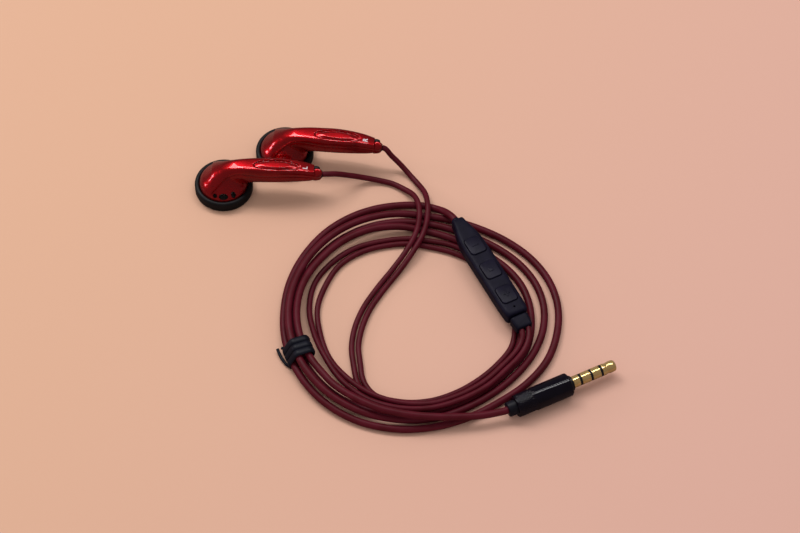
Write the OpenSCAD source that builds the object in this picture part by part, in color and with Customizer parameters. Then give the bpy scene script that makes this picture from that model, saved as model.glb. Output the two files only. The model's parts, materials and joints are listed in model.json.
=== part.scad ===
// Wired in-ear headphones: two earbuds lying face down, an in-line remote,
// a coiled cord held by a twist tie, and a four-pole plug.
// Millimetres. +X runs along the stems, +Z is up, and the origin is on the
// table, at the centre of the two earbuds.

/* [Earbud] */
// Outside radius of the rubber ring
ring_r = 8.8; // [8.6:0.1:9.4]
// Height of the rubber ring
ring_h = 3.4; // [3.2:0.1:3.8]
// Thickness of the ring's lip under the grille
ring_lip = 0.5; // [0.3:0.1:0.7]
// Width of the ring's lip under the grille
ring_lip_w = 0.9; // [0.6:0.1:1.2]
// Thickness of the ring's side
ring_side = 0.9; // [0.7:0.05:1.1]
// Height of the dome above the ring
dome_h = 6.6; // [6.2:0.1:7.4]
// Wall of the plastic shells
shell_wall = 0.8; // [0.6:0.05:0.9]
// Length from the disc's centre to the end of the stem's halves
stem_length = 27.6; // [25:0.2:31]
// Half of the stem's width at its thickest
stem_half_w = 3.6; // [3.3:0.1:4.0]
// Height of the stem's underside above the table
stem_low = 6.6; // [6.4:0.1:7.0]
// Height of the stem's back above its underside
stem_rise = 7.7; // [7.3:0.1:8.4]
// Half width of the fan where it starts on the dome
fan_half_w = 4.8; // [4.2:0.1:5.2]
// Distance from the disc's centre back to the fan's edge
fan_back = 4.4; // [3.6:0.1:4.8]
// Length of the oval inlay on the stem's back
inlay_length = 12.4; // [9:0.2:13]
// Width of the oval inlay
inlay_width = 3; // [2.2:0.1:3.4]
// Thickness of the oval inlay
inlay_t = 0.5; // [0.3:0.05:0.6]
// Length of the end cap on the stem
cap_length = 1.7; // [1.2:0.1:2.4]
// Width of the end cap
cap_width = 3.2; // [2.9:0.1:3.6]
// Height of the cord's axis where it leaves the stem
exit_z = 8.4; // [8.2:0.1:9.0]

/* [Driver] */
// Thickness of the grille plate
grille_t = 0.5; // [0.4:0.05:0.7]
// Radius of each hole in the grille
grille_hole_r = 0.45; // [0.3:0.05:0.55]
// Thickness of the acoustic cloth
cloth_t = 0.12; // [0.08:0.02:0.2]
// Height of the driver frame
frame_h = 2.1; // [1.9:0.1:2.3]
// Thickness of the driver frame's floor and rim
frame_wall = 0.6; // [0.4:0.05:0.7]
// Outside radius of the magnet yoke
yoke_r = 4.3; // [4.1:0.1:4.5]
// Height of the magnet yoke
yoke_h = 2.5; // [2.3:0.1:2.6]
// Wall of the magnet yoke
yoke_wall = 0.5; // [0.4:0.05:0.6]
// Thickness of the pole plate
plate_t = 0.6; // [0.5:0.05:0.8]
// Wall of the voice coil
coil_wall = 0.22; // [0.16:0.02:0.26]
// Air gap on each side of the voice coil
air_gap = 0.15; // [0.1:0.01:0.2]
// Thickness of the diaphragm
film_t = 0.1; // [0.06:0.02:0.14]

/* [Remote] */
// Length of the remote's body without its collar
remote_length = 38.4; // [37:0.2:42]
// Half of the remote's width
remote_half_w = 3.65; // [3.5:0.05:4.2]
// Half of the remote's width at its neck
neck_half_w = 1.8; // [1.6:0.05:2.0]
// Height of the remote
remote_h = 4.8; // [4.6:0.1:5.6]
// Wall of the remote's covers
remote_wall = 0.75; // [0.6:0.05:0.8]
// Distance between neighbouring buttons
button_pitch = 9.8; // [9.5:0.1:10.2]
// Distance from the neck's end to the first button's centre
first_button = 11.7; // [11.4:0.1:12.2]
// Length of a button
button_length = 6.6; // [6:0.1:7]
// Width of a button
button_width = 4.2; // [3.6:0.1:4.4]
// Height of a button's top above the cover
button_proud = 0.3; // [0.3:0.05:0.5]
// Travel of a button
button_travel = 0.3; // [0.2:0.05:0.3]
// Length of the collar at the remote's wide end
collar_length = 4.5; // [3:0.1:6]
// Half of the collar's width
collar_half_w = 2.5; // [2.3:0.1:3]
// Thickness of the remote's circuit board
board_t = 0.6; // [0.4:0.1:0.8]

/* [Plug] */
// Radius of the contacts
plug_r = 1.75; // [1.75:0.01:1.77]
// Length of the contacts, with the black nose
plug_length = 15; // [14.8:0.1:15.2]
// Length of the black nose
nose_length = 1; // [0.6:0.1:1.4]
// Radius of the barrel
barrel_r = 3.5; // [3.3:0.1:4.0]
// Length of the barrel with its knurled end
barrel_length = 17.5; // [16:0.5:22]
// Length of the knurled end
knurl_length = 6; // [4:0.5:8]
// Wall of the barrel
barrel_wall = 0.8; // [0.6:0.1:1.0]
// Radius of the sleeve behind the barrel
sleeve_r = 2.2; // [1.9:0.1:2.3]
// Length of the sleeve that shows behind the barrel
sleeve_length = 2.5; // [1.5:0.1:4]

/* [Cord] */
// Diameter of the main cord
main_d = 2.2; // [2.1:0.05:2.3]
// Diameter of each thin cord
thin_d = 1.7; // [1.5:0.05:1.8]
// Thickness of the twist tie
tie_t = 0.8; // [0.6:0.1:0.9]
// Width of the twist tie's ribbon
tie_w = 1.9; // [1.5:0.1:2.0]

/* [Hidden] */
$fn = 48;

// ---- where the pieces lie
bud_gap_x = 18.2;
bud_gap_y = 12.4;
left_yaw = -1.5;
right_yaw = -6;
relief_r = 1.2;
relief_out = 0.7;
relief_end = stem_length + cap_length + relief_out;
reach = relief_end * cos(right_yaw) + relief_r * abs(sin(right_yaw));
left_x = (ring_r - bud_gap_x - reach) / 2;
left_y = -bud_gap_y / 2;
right_x = left_x + bud_gap_x;
right_y = bud_gap_y / 2;
remote_x = 50.8;
remote_y = -22.1;
remote_yaw = -63;
remote_z = 2.35;
plug_x = 64.7;
plug_y = -87.9;
plug_yaw = 26.3;

// ---- small things shared by neighbours
slip = 0.05;          // running clearance
gap = 0.15;           // clearance round pieces that move or drop in
eps = 0.01;           // overshoot of a cut

// ---- earbud, in its own frame: disc centre at the origin, stem along +X
seat_r = ring_r - ring_side;    // the ring grips the shell and the grille here
dome_r = seat_r + 0.2;
dome_in = dome_r - 1.35 * shell_wall;
dome_top = ring_h + dome_h;
DOME_BEND = 1.754;    // exponent of the dome's outline: a softly rounded cone
face_z = ring_lip;
plate_top = face_z + grille_t;
rim_h = 0.8;          // height of the grille's rim above its plate
rim_wall = 0.7;
skirt_z = plate_top + rim_h;
cloth_top = plate_top + cloth_t;
frame_r = seat_r - rim_wall;
frame_top = cloth_top + frame_h;
yoke_z = frame_top - 0.3;
yoke_in = yoke_r - yoke_wall;
yoke_top = yoke_z + yoke_h;
coil_out = yoke_in - air_gap;
coil_in = coil_out - coil_wall;
pole_r = coil_in - air_gap;
pole_z = yoke_z + 0.1;
magnet_top = yoke_top - yoke_wall;
film_z = cloth_top + 0.5;
film_r = frame_r - frame_wall - gap;
coil_top = magnet_top - 0.5;
split_z = exit_z;     // the stem's halves part at the cord's axis
board_lug = 0.5;      // thickness of a terminal board with its solder pads
end_wall = 0.8;
port_r = 0.8;
port_x = dome_in - port_r - slip;   // where the wires leave the dome for the stem

function dome_point(r, h, a) = [r * pow(cos(a), DOME_BEND), ring_h + h * pow(sin(a), DOME_BEND)];
dome_line = [for (a = [0:6:84]) dome_point(dome_r, dome_h, a), [0, dome_top]];
dome_in_line = [for (a = [0:6:84]) dome_point(dome_in, dome_h - 1.3 * shell_wall, a),
                [0, dome_top - 1.3 * shell_wall]];

// Stations along the spine of the stem: place along X, half width, underside and back.
// The first four lie on the dome and make the fan.
stem_x0 = 5;
parting_x0 = stem_x0 + 0.25;   // where the parting of the stem's halves begins
hollow_x0 = stem_x0 + 0.83;    // where the stem's hollow begins
function along(s) = stem_x0 + s * (stem_length - stem_x0);
stem_back = stem_low + stem_rise;
spine = [
    [-fan_back, fan_half_w, ring_h + 0.08 * dome_h, ring_h + 0.44 * dome_h],
    [-0.45 * fan_back, 0.8 * fan_half_w, ring_h + 0.15 * dome_h, ring_h + 0.79 * dome_h],
    [0, 0.67 * fan_half_w, 0.7 * stem_low, ring_h + 1.09 * dome_h],
    [0.5 * stem_x0, 0.8 * stem_half_w, 0.6 * stem_low, stem_back - 0.34 * stem_rise],
    [along(0), 0.8 * stem_half_w, 0.65 * stem_low, stem_back - 0.2 * stem_rise],
    [along(0.15), 0.86 * stem_half_w, 0.91 * stem_low, stem_back - 0.08 * stem_rise],
    [along(0.3), 0.95 * stem_half_w, 0.985 * stem_low, stem_back - 0.01 * stem_rise],
    [along(0.45), stem_half_w, stem_low, stem_back],
    [along(0.62), 0.97 * stem_half_w, stem_low, stem_back - 0.04 * stem_rise],
    [along(0.8), 0.84 * stem_half_w, stem_low, stem_back - 0.16 * stem_rise],
    [along(0.94), 0.7 * stem_half_w, 1.03 * stem_low, stem_back - 0.31 * stem_rise],
    [along(1), 0.6 * stem_half_w, 1.08 * stem_low, stem_back - 0.44 * stem_rise]
];
SIDES = 20;
ROUND = 0.8;          // below 1 the section is a rounded box
function signed_pow(v, p) = sign(v) * pow(abs(v), p);
function oval(x, half_w, low, top) = [for (i = [0:SIDES - 1]) let (a = 360 * i / SIDES)
    [x, half_w * signed_pow(cos(a), ROUND), (low + top) / 2 + (top - low) / 2 * signed_pow(sin(a), ROUND)]];

// ---- shared builders
// Skin between equal closed rings, each as many points, ordered along the path.
module skin(rings) {
    n = len(rings[0]);
    m = len(rings);
    points = [for (ring = rings) each ring];
    sides = [for (k = [0:m - 2], i = [0:n - 1]) let (j = (i + 1) % n)
        each [[k * n + i, k * n + j, (k + 1) * n + i], [k * n + j, (k + 1) * n + j, (k + 1) * n + i]]];
    start = [for (i = [1:n - 2]) [0, i + 1, i]];
    stop = [for (i = [1:n - 2]) [(m - 1) * n, (m - 1) * n + i, (m - 1) * n + i + 1]];
    polyhedron(points, concat(sides, start, stop));
}
function unit(v) = v / norm(v);
// Direction of a path at point k; the two ends may be given.
function heading(path, k, first, last) =
    k == 0 && !is_undef(first) ? unit(first) :
    k == len(path) - 1 && !is_undef(last) ? unit(last) :
    unit(path[min(k + 1, len(path) - 1)] - path[max(k - 1, 0)]);
// Rings of a round tube along a path. The reference is a direction the path never takes.
function tube_rings(path, r, sides, first, last, reference) = [for (k = [0:len(path) - 1])
    let (t = heading(path, k, first, last), u = unit(cross(reference, t)), v = cross(t, u))
    [for (i = [0:sides - 1]) let (a = 360 * i / sides) path[k] + r * (cos(a) * u + sin(a) * v)]];
module tube(path, r, sides, first = undef, last = undef, reference = [0, 0, 1])
    skin(tube_rings(path, r, sides, first, last, reference));
module rounded_plate(length, width, corner) {
    hull() for (x = [-1, 1], y = [-1, 1])
        translate([x * (length / 2 - corner), y * (width / 2 - corner)]) circle(corner, $fn = 32);
}
module at_left() translate([left_x, left_y, 0]) rotate([0, 0, left_yaw]) children();
module at_right() translate([right_x, right_y, 0]) rotate([0, 0, right_yaw]) children();
module at_remote() translate([remote_x, remote_y, remote_z]) rotate([0, 0, remote_yaw]) children();
module at_plug() translate([plug_x, plug_y, barrel_r]) rotate([0, 0, plug_yaw]) rotate([0, 90, 0]) children();

// ---- earbud pieces
module rubber_ring() color([0.08, 0.08, 0.08]) rotate_extrude($fn = 96)
    polygon([[seat_r - ring_lip_w, 0], [ring_r - 0.6, 0], [ring_r - 0.15, 0.2], [ring_r, 0.6],
             [ring_r, ring_h - 0.6], [ring_r - 0.15, ring_h - 0.15], [ring_r - 0.4, ring_h],
             [seat_r, ring_h], [seat_r, ring_lip], [seat_r - ring_lip_w, ring_lip]]);

module front_grille() color([0.3, 0.3, 0.32]) {
    ring_pitch = 2.4 * grille_hole_r + 0.5;
    rows = floor((frame_r - 0.8) / ring_pitch);
    difference() {
        translate([0, 0, face_z]) cylinder(r = seat_r, h = grille_t + rim_h, $fn = 96);
        translate([0, 0, plate_top]) cylinder(r = frame_r, h = rim_h + eps, $fn = 96);
        for (row = [0:rows], k = [0:max(0, 6 * row - 1)])
            rotate([0, 0, 360 * k / max(1, 6 * row)]) translate([row * ring_pitch, 0, face_z - eps])
                cylinder(r = grille_hole_r, h = grille_t + 2 * eps, $fn = 16);
    }
}

module grille_cloth() translate([0, 0, plate_top]) cylinder(r = frame_r, h = cloth_t);
module grille_cloths() color([0.12, 0.12, 0.12]) { at_left() grille_cloth(); at_right() grille_cloth(); }

module driver_frame() color([0.75, 0.75, 0.72]) difference() {
    translate([0, 0, cloth_top]) cylinder(r = frame_r, h = frame_h);
    translate([0, 0, cloth_top - eps]) cylinder(r = frame_r - frame_wall, h = frame_h - frame_wall + eps);
    translate([0, 0, cloth_top]) cylinder(r = yoke_r, h = frame_h + eps);
    for (a = [30:60:330]) rotate([0, 0, a]) translate([(frame_r + yoke_r) / 2, 0, cloth_top])
        cylinder(r = 0.5, h = frame_h + eps, $fn = 24);
}

module diaphragm() color([0.85, 0.8, 0.6]) translate([0, 0, film_z]) rotate_extrude()
    polygon([[0, 0.45], [0.5 * coil_in, 0.36], [coil_in, 0], [0.5 * (coil_out + film_r), -0.12], [film_r, 0],
             [film_r, film_t], [0.5 * (coil_out + film_r), film_t - 0.12], [coil_out, film_t],
             [coil_in, film_t], [0.5 * coil_in, 0.36 + film_t], [0, 0.45 + film_t]]);

module voice_coil() color([0.72, 0.4, 0.2]) difference() {
    translate([0, 0, film_z + film_t]) cylinder(r = coil_out, h = coil_top - film_z - film_t);
    translate([0, 0, film_z]) cylinder(r = coil_in, h = coil_top);
}

module top_plate() color([0.6, 0.6, 0.62]) translate([0, 0, pole_z]) cylinder(r = pole_r, h = plate_t);

module magnet() color([0.5, 0.5, 0.52]) translate([0, 0, pole_z + plate_t])
    cylinder(r = pole_r - 0.2, h = magnet_top - pole_z - plate_t);

module yoke() color([0.65, 0.65, 0.68]) difference() {
    translate([0, 0, yoke_z]) cylinder(r = yoke_r, h = yoke_h);
    translate([0, 0, yoke_z - eps]) cylinder(r = yoke_in, h = magnet_top - yoke_z + eps);
}

module dome_solid() rotate_extrude($fn = 96) polygon(concat([[0, ring_h]], dome_line));
module spine_solid() skin([for (s = spine) oval(s[0], s[1], s[2], s[3])]);
// A slab across the stem, from `below` over the underside to `drop` under the back.
module stem_slab(from, to, below, drop, width) {
    inner = [for (s = spine) if (s[0] > from && s[0] < to) s];
    rotate([90, 0, 0]) linear_extrude(width, center = true) polygon(concat(
        [[to, stem_low + below], [from, stem_low + below], [from, inner[0][3] - drop]],
        [for (s = inner) [s[0], s[3] - drop]], [[to, inner[len(inner) - 1][3] - drop]]));
}
// The hollow of the cover, which leaves its end wall.
module stem_hollow() stem_slab(hollow_x0, stem_length - end_wall, shell_wall, shell_wall + inlay_t,
                               1.2 * stem_half_w - 2 * shell_wall);
// The round way for the wires and the strain relief, along the parting plane.
module wire_way() translate([hollow_x0, 0, exit_z]) rotate([0, 90, 0])
    cylinder(r = relief_r, h = stem_length + cap_length + 1 - hollow_x0, $fn = 32);
// Everything of the stem that lies below the parting plane, beyond the dome.
module lower_half() translate([parting_x0, -2 * stem_half_w, 0])
    cube([2 * stem_length, 4 * stem_half_w, split_z]);

module wire_port() translate([port_x, 0, ring_h + 0.1]) cylinder(r = port_r, h = stem_low + 1.5 - ring_h, $fn = 32);

module vents() for (side = [-1, 1], vent = [[116, 0.5], [95, 0.75], [89, 0.75], [66, 0.7]])
    rotate([0, 0, side * vent[0]]) translate([0.84 * dome_r, 0, ring_h + 1.1]) rotate([0, 45, 0])
        translate([0, 0, -2]) cylinder(r = vent[1], h = 4, $fn = 24);

module rear_shell() color([0.75, 0.03, 0.06]) difference() {
    union() {
        dome_solid();
        translate([0, 0, skirt_z]) cylinder(r = seat_r, h = ring_h - skirt_z, $fn = 96);
    }
    rotate_extrude($fn = 96) polygon(concat([[0, skirt_z - eps], [frame_r, skirt_z - eps], [frame_r, frame_top],
        [dome_in, frame_top]], dome_in_line));
    wire_port();
    vents();
}

module stem_base() color([0.72, 0.03, 0.06]) difference() {
    intersection() { spine_solid(); lower_half(); }
    dome_solid();
    wire_way();
    wire_port();
}

module inlay_prism(grow) translate([along(0.32) + inlay_length / 2 - 1.6, 0, stem_low + stem_rise / 2])
    linear_extrude(stem_rise) rounded_plate(inlay_length + 2 * grow, inlay_width + 2 * grow, inlay_width / 2 + grow - eps);
module inlay_floor() stem_slab(hollow_x0 + 1, stem_length - 1, -1, inlay_t, 3 * stem_half_w);

module stem_cover() color([0.8, 0.03, 0.07]) difference() {
    spine_solid();
    dome_solid();
    lower_half();
    stem_hollow();
    wire_way();
    difference() { inlay_prism(gap); inlay_floor(); }
}

module stem_inlay() color([0.85, 0.05, 0.09]) difference() {
    intersection() { spine_solid(); inlay_prism(0); }
    inlay_floor();
}

module stem_cap() color([0.8, 0.04, 0.08]) difference() {
    translate([stem_length, 0, exit_z]) rotate([90, 0, 90]) hull() {
        linear_extrude(0.6 * cap_length) rounded_plate(cap_width, cap_width, 0.9);
        linear_extrude(cap_length) rounded_plate(cap_width - 0.6, cap_width - 0.6, 0.9);
    }
    wire_way();
}

module strain_relief() color([0.06, 0.06, 0.06]) translate([stem_length - end_wall, 0, exit_z]) rotate([0, 90, 0]) {
    translate([0, 0, -0.8]) {
        cylinder(r = relief_r, h = relief_end - stem_length + end_wall + 0.8, $fn = 32);
        // Half a flange, which lies in the cover's hollow.
        intersection() {
            cylinder(r = min(1.45, 0.6 * stem_half_w - shell_wall), h = 0.8, $fn = 32);
            translate([-2, -2, -eps]) cube([2, 4, 1]);
        }
    }
}

module lead_wires() color([0.7, 0.45, 0.15]) for (y = [-0.4, 0.4])
    tube([[port_x, y, frame_top + board_lug], [port_x, y, stem_low + 1], [port_x + 0.5, y, exit_z],
          [port_x + 2, y, exit_z + 0.8], [port_x + 5, y, exit_z + 1], [along(0.6), y, exit_z + 0.8],
          [stem_length - end_wall - 2.4, y, exit_z + 0.2], [stem_length - end_wall - 0.8, y, exit_z]],
         0.2, 6, first = [0, 0, 1], last = [1, 0, 0], reference = [0, 1, 0]);

module terminal_board() translate([port_x - 1.3, -1.2, frame_top]) cube([1.6, 2.4, board_lug]);
module terminal_boards() color([0.1, 0.4, 0.2]) { at_left() terminal_board(); at_right() terminal_board(); }

// Thin mesh behind the vents, against the inside of the dome.
module vent_screen() for (side = [0, 1]) mirror([0, side, 0]) rotate([0, 0, 55])
    rotate_extrude(angle = 72, $fn = 96) polygon(concat(
        [for (i = [1:4]) dome_in_line[i]], [for (i = [4:-1:1]) dome_in_line[i] - [0.15, 0.05]]));
module vent_screens() color([0.2, 0.2, 0.2]) { at_left() vent_screen(); at_right() vent_screen(); }

// ---- remote, in its own frame: neck's end at the origin, collar along +X, underside at z = 0
remote_split = 0.45 * remote_h;
cover_z = remote_h - remote_wall;
board_z = remote_wall + 0.25;
flange_t = 0.35;
flange_z = cover_z - flange_t - slip;
flange_out = 0.35;
switch_top = board_z + board_t + 0.55;
cord_z = 1.95;        // height of the cords' axes above the remote's underside
neck_out = 1.2;       // how far the neck's sleeve stands out of the remote
function remote_outline(inset) = let (w = remote_half_w - inset, n = neck_half_w - inset) [
    each [[inset, -n], [1.5, -n - 0.1], [4, -0.6 * n - 0.4 * w], [8, -0.95 * w], [12, -w], [remote_length - 3, -w],
     [remote_length - 1, -0.95 * w], [remote_length - inset, -0.86 * w]],
    each [[remote_length - inset, 0.86 * w], [remote_length - 1, 0.95 * w], [remote_length - 3, w], [12, w], [8, 0.95 * w],
     [4, 0.6 * n + 0.4 * w], [1.5, n + 0.1], [inset, n]]];
module at_buttons() for (k = [0:2]) translate([first_button + k * button_pitch, 0, 0]) children();
module cord_ways() {
    translate([-eps, 0, cord_z]) rotate([0, 90, 0]) cylinder(r = main_d / 2 + 0.25, h = 2.5, $fn = 32);
    translate([remote_length - 1.5, 0, cord_z]) rotate([0, 90, 0]) cylinder(r = 1.1, h = 2, $fn = 32);
}

module remote_bottom_cover() color([0.1, 0.1, 0.13]) difference() {
    union() {
        difference() {
            linear_extrude(remote_split) polygon(remote_outline(0));
            translate([0, 0, remote_wall]) linear_extrude(remote_h) polygon(remote_outline(remote_wall));
        }
        for (x = [7, remote_length - 3]) translate([x, 0, remote_wall - eps]) cylinder(r = 0.8, h = board_z - remote_wall + eps, $fn = 24);
    }
    cord_ways();
}

module remote_top_cover() color([0.11, 0.11, 0.14]) difference() {
    hull() {
        translate([0, 0, remote_split]) linear_extrude(cover_z - remote_split) polygon(remote_outline(0));
        translate([0, 0, remote_split]) linear_extrude(remote_h - remote_split) polygon(remote_outline(0.4));
    }
    difference() {
        translate([-1, -2 * remote_half_w, 0]) cube([remote_length + 2, 4 * remote_half_w, 2 * remote_h]);
        translate([0, 0, -eps]) linear_extrude(2 * remote_h + 2 * eps) polygon(remote_outline(0));
    }
    translate([0, 0, remote_split - eps]) linear_extrude(cover_z - remote_split + eps) polygon(remote_outline(remote_wall));
    at_buttons() translate([0, 0, cover_z - eps])
        linear_extrude(remote_wall + 2 * eps) rounded_plate(button_length + 2 * gap, button_width + 2 * gap, 1.2 + gap);
    translate([remote_length - 2.2, 0, cover_z - eps]) cylinder(r = 0.35, h = remote_wall + 2 * eps, $fn = 24);
    cord_ways();
}

// A button: its cap, the flange that keeps it in, and the plunger over its switch.
module button(k) translate([first_button + k * button_pitch, 0, 0]) {
    translate([0, 0, flange_z + flange_t - eps])
        linear_extrude(remote_h + button_proud - flange_z - flange_t + eps) rounded_plate(button_length, button_width, 1.2);
    translate([0, 0, flange_z]) linear_extrude(flange_t)
        rounded_plate(button_length + 2 * flange_out, button_width + 2 * flange_out, 1.2);
    translate([0, 0, switch_top + button_travel + slip]) cylinder(r = 0.7, h = flange_z - switch_top - button_travel - slip + eps, $fn = 24);
}
module minus_button() color([0.13, 0.13, 0.16]) at_remote() button(0);
module middle_button() color([0.13, 0.13, 0.16]) at_remote() button(1);
module plus_button() color([0.13, 0.13, 0.16]) at_remote() button(2);

module remote_board() color([0.1, 0.35, 0.2]) translate([6, 0, board_z])
    translate([0, -remote_half_w + remote_wall + 0.9, 0]) cube([remote_length - 8.5, 2 * (remote_half_w - remote_wall - 0.9), board_t]);

module tact_switches() color([0.75, 0.75, 0.78]) at_buttons() {
    translate([-1.5, -1.5, board_z + board_t]) cube([3, 3, 0.35]);
    translate([0, 0, board_z + board_t + 0.35 - eps]) cylinder(r = 0.9, h = 0.2 + eps, $fn = 24);
}

module microphone() color([0.7, 0.7, 0.7])
    translate([remote_length - 3.9, 0, board_z + board_t]) cylinder(r = 0.9, h = 0.9, $fn = 24);

module remote_collar() color([0.07, 0.07, 0.08]) translate([remote_length, 0, 0]) hull() {
    translate([0, -collar_half_w - 0.3, 0.2]) cube([0.01, 2 * collar_half_w + 0.6, remote_h - 1.2]);
    translate([collar_length - 0.01, -collar_half_w, 0.5]) cube([0.01, 2 * collar_half_w, remote_h - 2]);
}

module remote_neck() color([0.07, 0.07, 0.08]) translate([-neck_out, 0, cord_z]) rotate([0, 90, 0])
    cylinder(r = main_d / 2 + 0.25, h = neck_out + 2.4, $fn = 32);

// ---- plug, in its own frame: axis along +Z, the sleeve's rear end at the origin
barrel_z = sleeve_length;
nose_z = barrel_z + barrel_length;
contact_z = nose_z + nose_length;
tip_z = nose_z + plug_length;
insulator_t = 0.7;
contact_len = plug_length - nose_length;
// Starts of the three insulating rings.
cut_z = [for (share = [0.15, 0.4, 0.635]) contact_z + share * contact_len];
core_r = 0.9;
neck_r = plug_r - 0.35;    // where the core passes through the barrel's front
core_body_r = barrel_r - barrel_wall - slip;

module contact(from, to) difference() {
    translate([0, 0, from]) cylinder(r = plug_r, h = to - from);
    translate([0, 0, from - eps]) cylinder(r = core_r, h = to - from + 2 * eps, $fn = 32);
}
module plug_sleeve() color([0.9, 0.7, 0.3]) contact(contact_z, cut_z[0]);
module plug_ring_2() color([0.9, 0.7, 0.3]) contact(cut_z[0] + insulator_t, cut_z[1]);
module plug_ring_1() color([0.9, 0.7, 0.3]) contact(cut_z[1] + insulator_t, cut_z[2]);
module plug_tip() color([0.9, 0.7, 0.3]) difference() {
    translate([0, 0, cut_z[2] + insulator_t]) rotate_extrude()
        polygon([[0, 0], [plug_r, 0], [plug_r, 0.5], [plug_r - 0.35, 1.5], [plug_r - 0.35, 1.8],
                 [plug_r - 0.1, 2.5], [plug_r - 0.2, 3.1],
                 [0.9, tip_z - cut_z[2] - insulator_t - 0.15], [0, tip_z - cut_z[2] - insulator_t]]);
    translate([0, 0, cut_z[2]]) cylinder(r = core_r, h = insulator_t + 0.7, $fn = 32);
}
// Moulded core: carries the contacts, ends in the black nose and fills the barrel's front.
module plug_core() color([0.08, 0.08, 0.08]) {
    cylinder_to(core_r, nose_z, cut_z[2] + insulator_t + 0.7);
    for (z = cut_z) cylinder_to(plug_r, z, z + insulator_t);
    cylinder_to(plug_r + 0.55, nose_z + 2 * slip, contact_z - 2 * slip);
    cylinder_to(neck_r, nose_z - barrel_wall - slip, contact_z);
    cylinder_to(core_body_r, barrel_z + barrel_wall + 7, nose_z - barrel_wall - slip);
}
module cylinder_to(r, from, to) translate([0, 0, from]) cylinder(r = r, h = to - from);

module plug_barrel() color([0.05, 0.05, 0.05]) difference() {
    union() {
        cylinder_to(barrel_r, barrel_z + knurl_length, nose_z - 0.6);
        translate([0, 0, nose_z - 0.6]) cylinder(r1 = barrel_r, r2 = barrel_r - 0.6, h = 0.6);
        cylinder_to(barrel_r - 0.25, barrel_z, barrel_z + knurl_length);
        for (a = [0:15:345]) rotate([0, 0, a]) translate([barrel_r - 0.45, -0.2, barrel_z + 0.4])
            cube([0.4, 0.4, knurl_length - 1]);
    }
    cylinder_to(barrel_r - barrel_wall, barrel_z + barrel_wall, nose_z - barrel_wall);
    cylinder_to(neck_r + slip, nose_z - 2 * barrel_wall, nose_z + eps);
    cylinder_to(sleeve_r + slip, barrel_z - eps, barrel_z + 2 * barrel_wall);
}

module plug_strain_relief() color([0.06, 0.06, 0.06]) {
    cylinder_to(sleeve_r, 0, barrel_z + barrel_wall + slip);
    cylinder_to(sleeve_r + 0.3, barrel_z + barrel_wall + slip - eps, barrel_z + barrel_wall + 1.5);
    cylinder_to(main_d / 2, barrel_z + barrel_wall + 1.5 - eps, barrel_z + barrel_wall + 7);
}

// ---- cord routes
main_r = main_d / 2;
thin_r = thin_d / 2;
COIL = [42.6, -50.8];         // centre of the coil
STEPS = 24;                   // rings in one turn
// The main cord winds outward from where its lead joins it.
MAIN_START = 211.5;
main_steps = STEPS * 3 + 8;
lane_min = main_d + 0.55;
tie_angle = 204;        // half way between two rings
tie_lift = tie_t + 0.25;
function main_shape(a) = 39.8 - 2.5 * cos(a) - 3.4 * sin(a) + 1.2 * cos(2 * a) + 0.6 * sin(2 * a) + cos(3 * a);
function lane_gap(a) = 2.87 + 1.3 * cos(a) - 0.35 * pow(max(0, -cos(a)), 3);
// How far the cord strays outward from that winding, by turns.
main_stray = [[0.12, 0], [0.17, -0.5], [0.25, 0], [0.58, 0], [0.63, 0.7], [0.67, 1.6], [0.71, 1.2], [0.75, 1.1],
    [0.8, 0.85], [0.84, 0.4], [0.88, 0], [2.6, 0], [2.63, 0.15], [2.67, 0.7], [2.71, 0.5], [2.75, 0], [3, 0.1],
    [3.09, 0.4], [3.13, 0.9], [3.17, 1.15], [3.21, 1.5], [3.25, 1.5], [3.3, 1.2], [3.34, 0.8]];
// Where the turns close up, every second one rides on its neighbours.
function ride(a) = 1.25 * sqrt(max(0, pow(lane_min, 2) - pow(lane_gap(a), 2)));
function near_tie(a) = let (d = abs(((a - tie_angle + 540) % 360) - 180)) d > 45 ? 0 : pow(cos(2 * d), 2);
function main_point(k) = let (
    turn = k / STEPS,
    a = MAIN_START - 360 * turn + 1440,
    r = main_shape(a) + lane_gap(a) * (turn - 3) + lookup(turn, main_stray),
    up = (1 + cos(180 * (turn - (MAIN_START - tie_angle) / 360))) / 2)
    [COIL[0] + r * cos(a), COIL[1] + r * sin(a), main_r + tie_lift * near_tie(a) + ride(a) * up];
main_coil = [for (k = [0:main_steps]) main_point(k)];

// The thin pair leaves the remote's collar on top of the main cord, steps down on the left, goes
// round inside the main cord and passes under its own start.
THIN_START = -45;
thin_steps = 29;
// Radius of the left and the right cord and their heights, ring by ring.
thin_lay = [
    [31.8, 29.95, 3.2, 2.8], [33.0, 31.1, 3.2, 2.8], [34.4, 32.6, 3.2, 2.8], [36.2, 34.4, 3.2, 2.8],
    [37.3, 35.2, 3.1, 2.75], [37.6, 35.5, 2.8, 2.7], [36.9, 35.1, 2.8, 2.5], [35.7, 34.3, 2.6, 0.95],
    [35.3, 33.5, 1.7, 0.85], [35.6, 33.2, 0.9, 0.85], [35.3, 32, 0.85, 0.85], [33.4, 31, 0.85, 0.85],
    [31, 28.8, 0.85, 0.85], [28.1, 26.2, 0.85, 0.85], [26.1, 24.2, 0.85, 0.85], [24.4, 22.2, 0.85, 0.85],
    [23.8, 21.4, 0.85, 0.85], [23.3, 21.1, 0.85, 0.85], [23.4, 21.4, 0.85, 0.85], [24, 22.1, 0.85, 0.85],
    [25, 23.2, 0.85, 0.85], [26.2, 24.4, 0.85, 0.85], [27.6, 25.8, 0.85, 0.85], [29.2, 27.4, 0.85, 0.85],
    [29.6, 27.8, 0.85, 0.85], [30.5, 28.7, 0.85, 0.85], [32.1, 30.3, 0.85, 0.85], [34.1, 32.3, 0.85, 0.85],
    [35.7, 33.8, 0.85, 0.85], [36, 34.1, 0.85, 0.85]];
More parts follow.
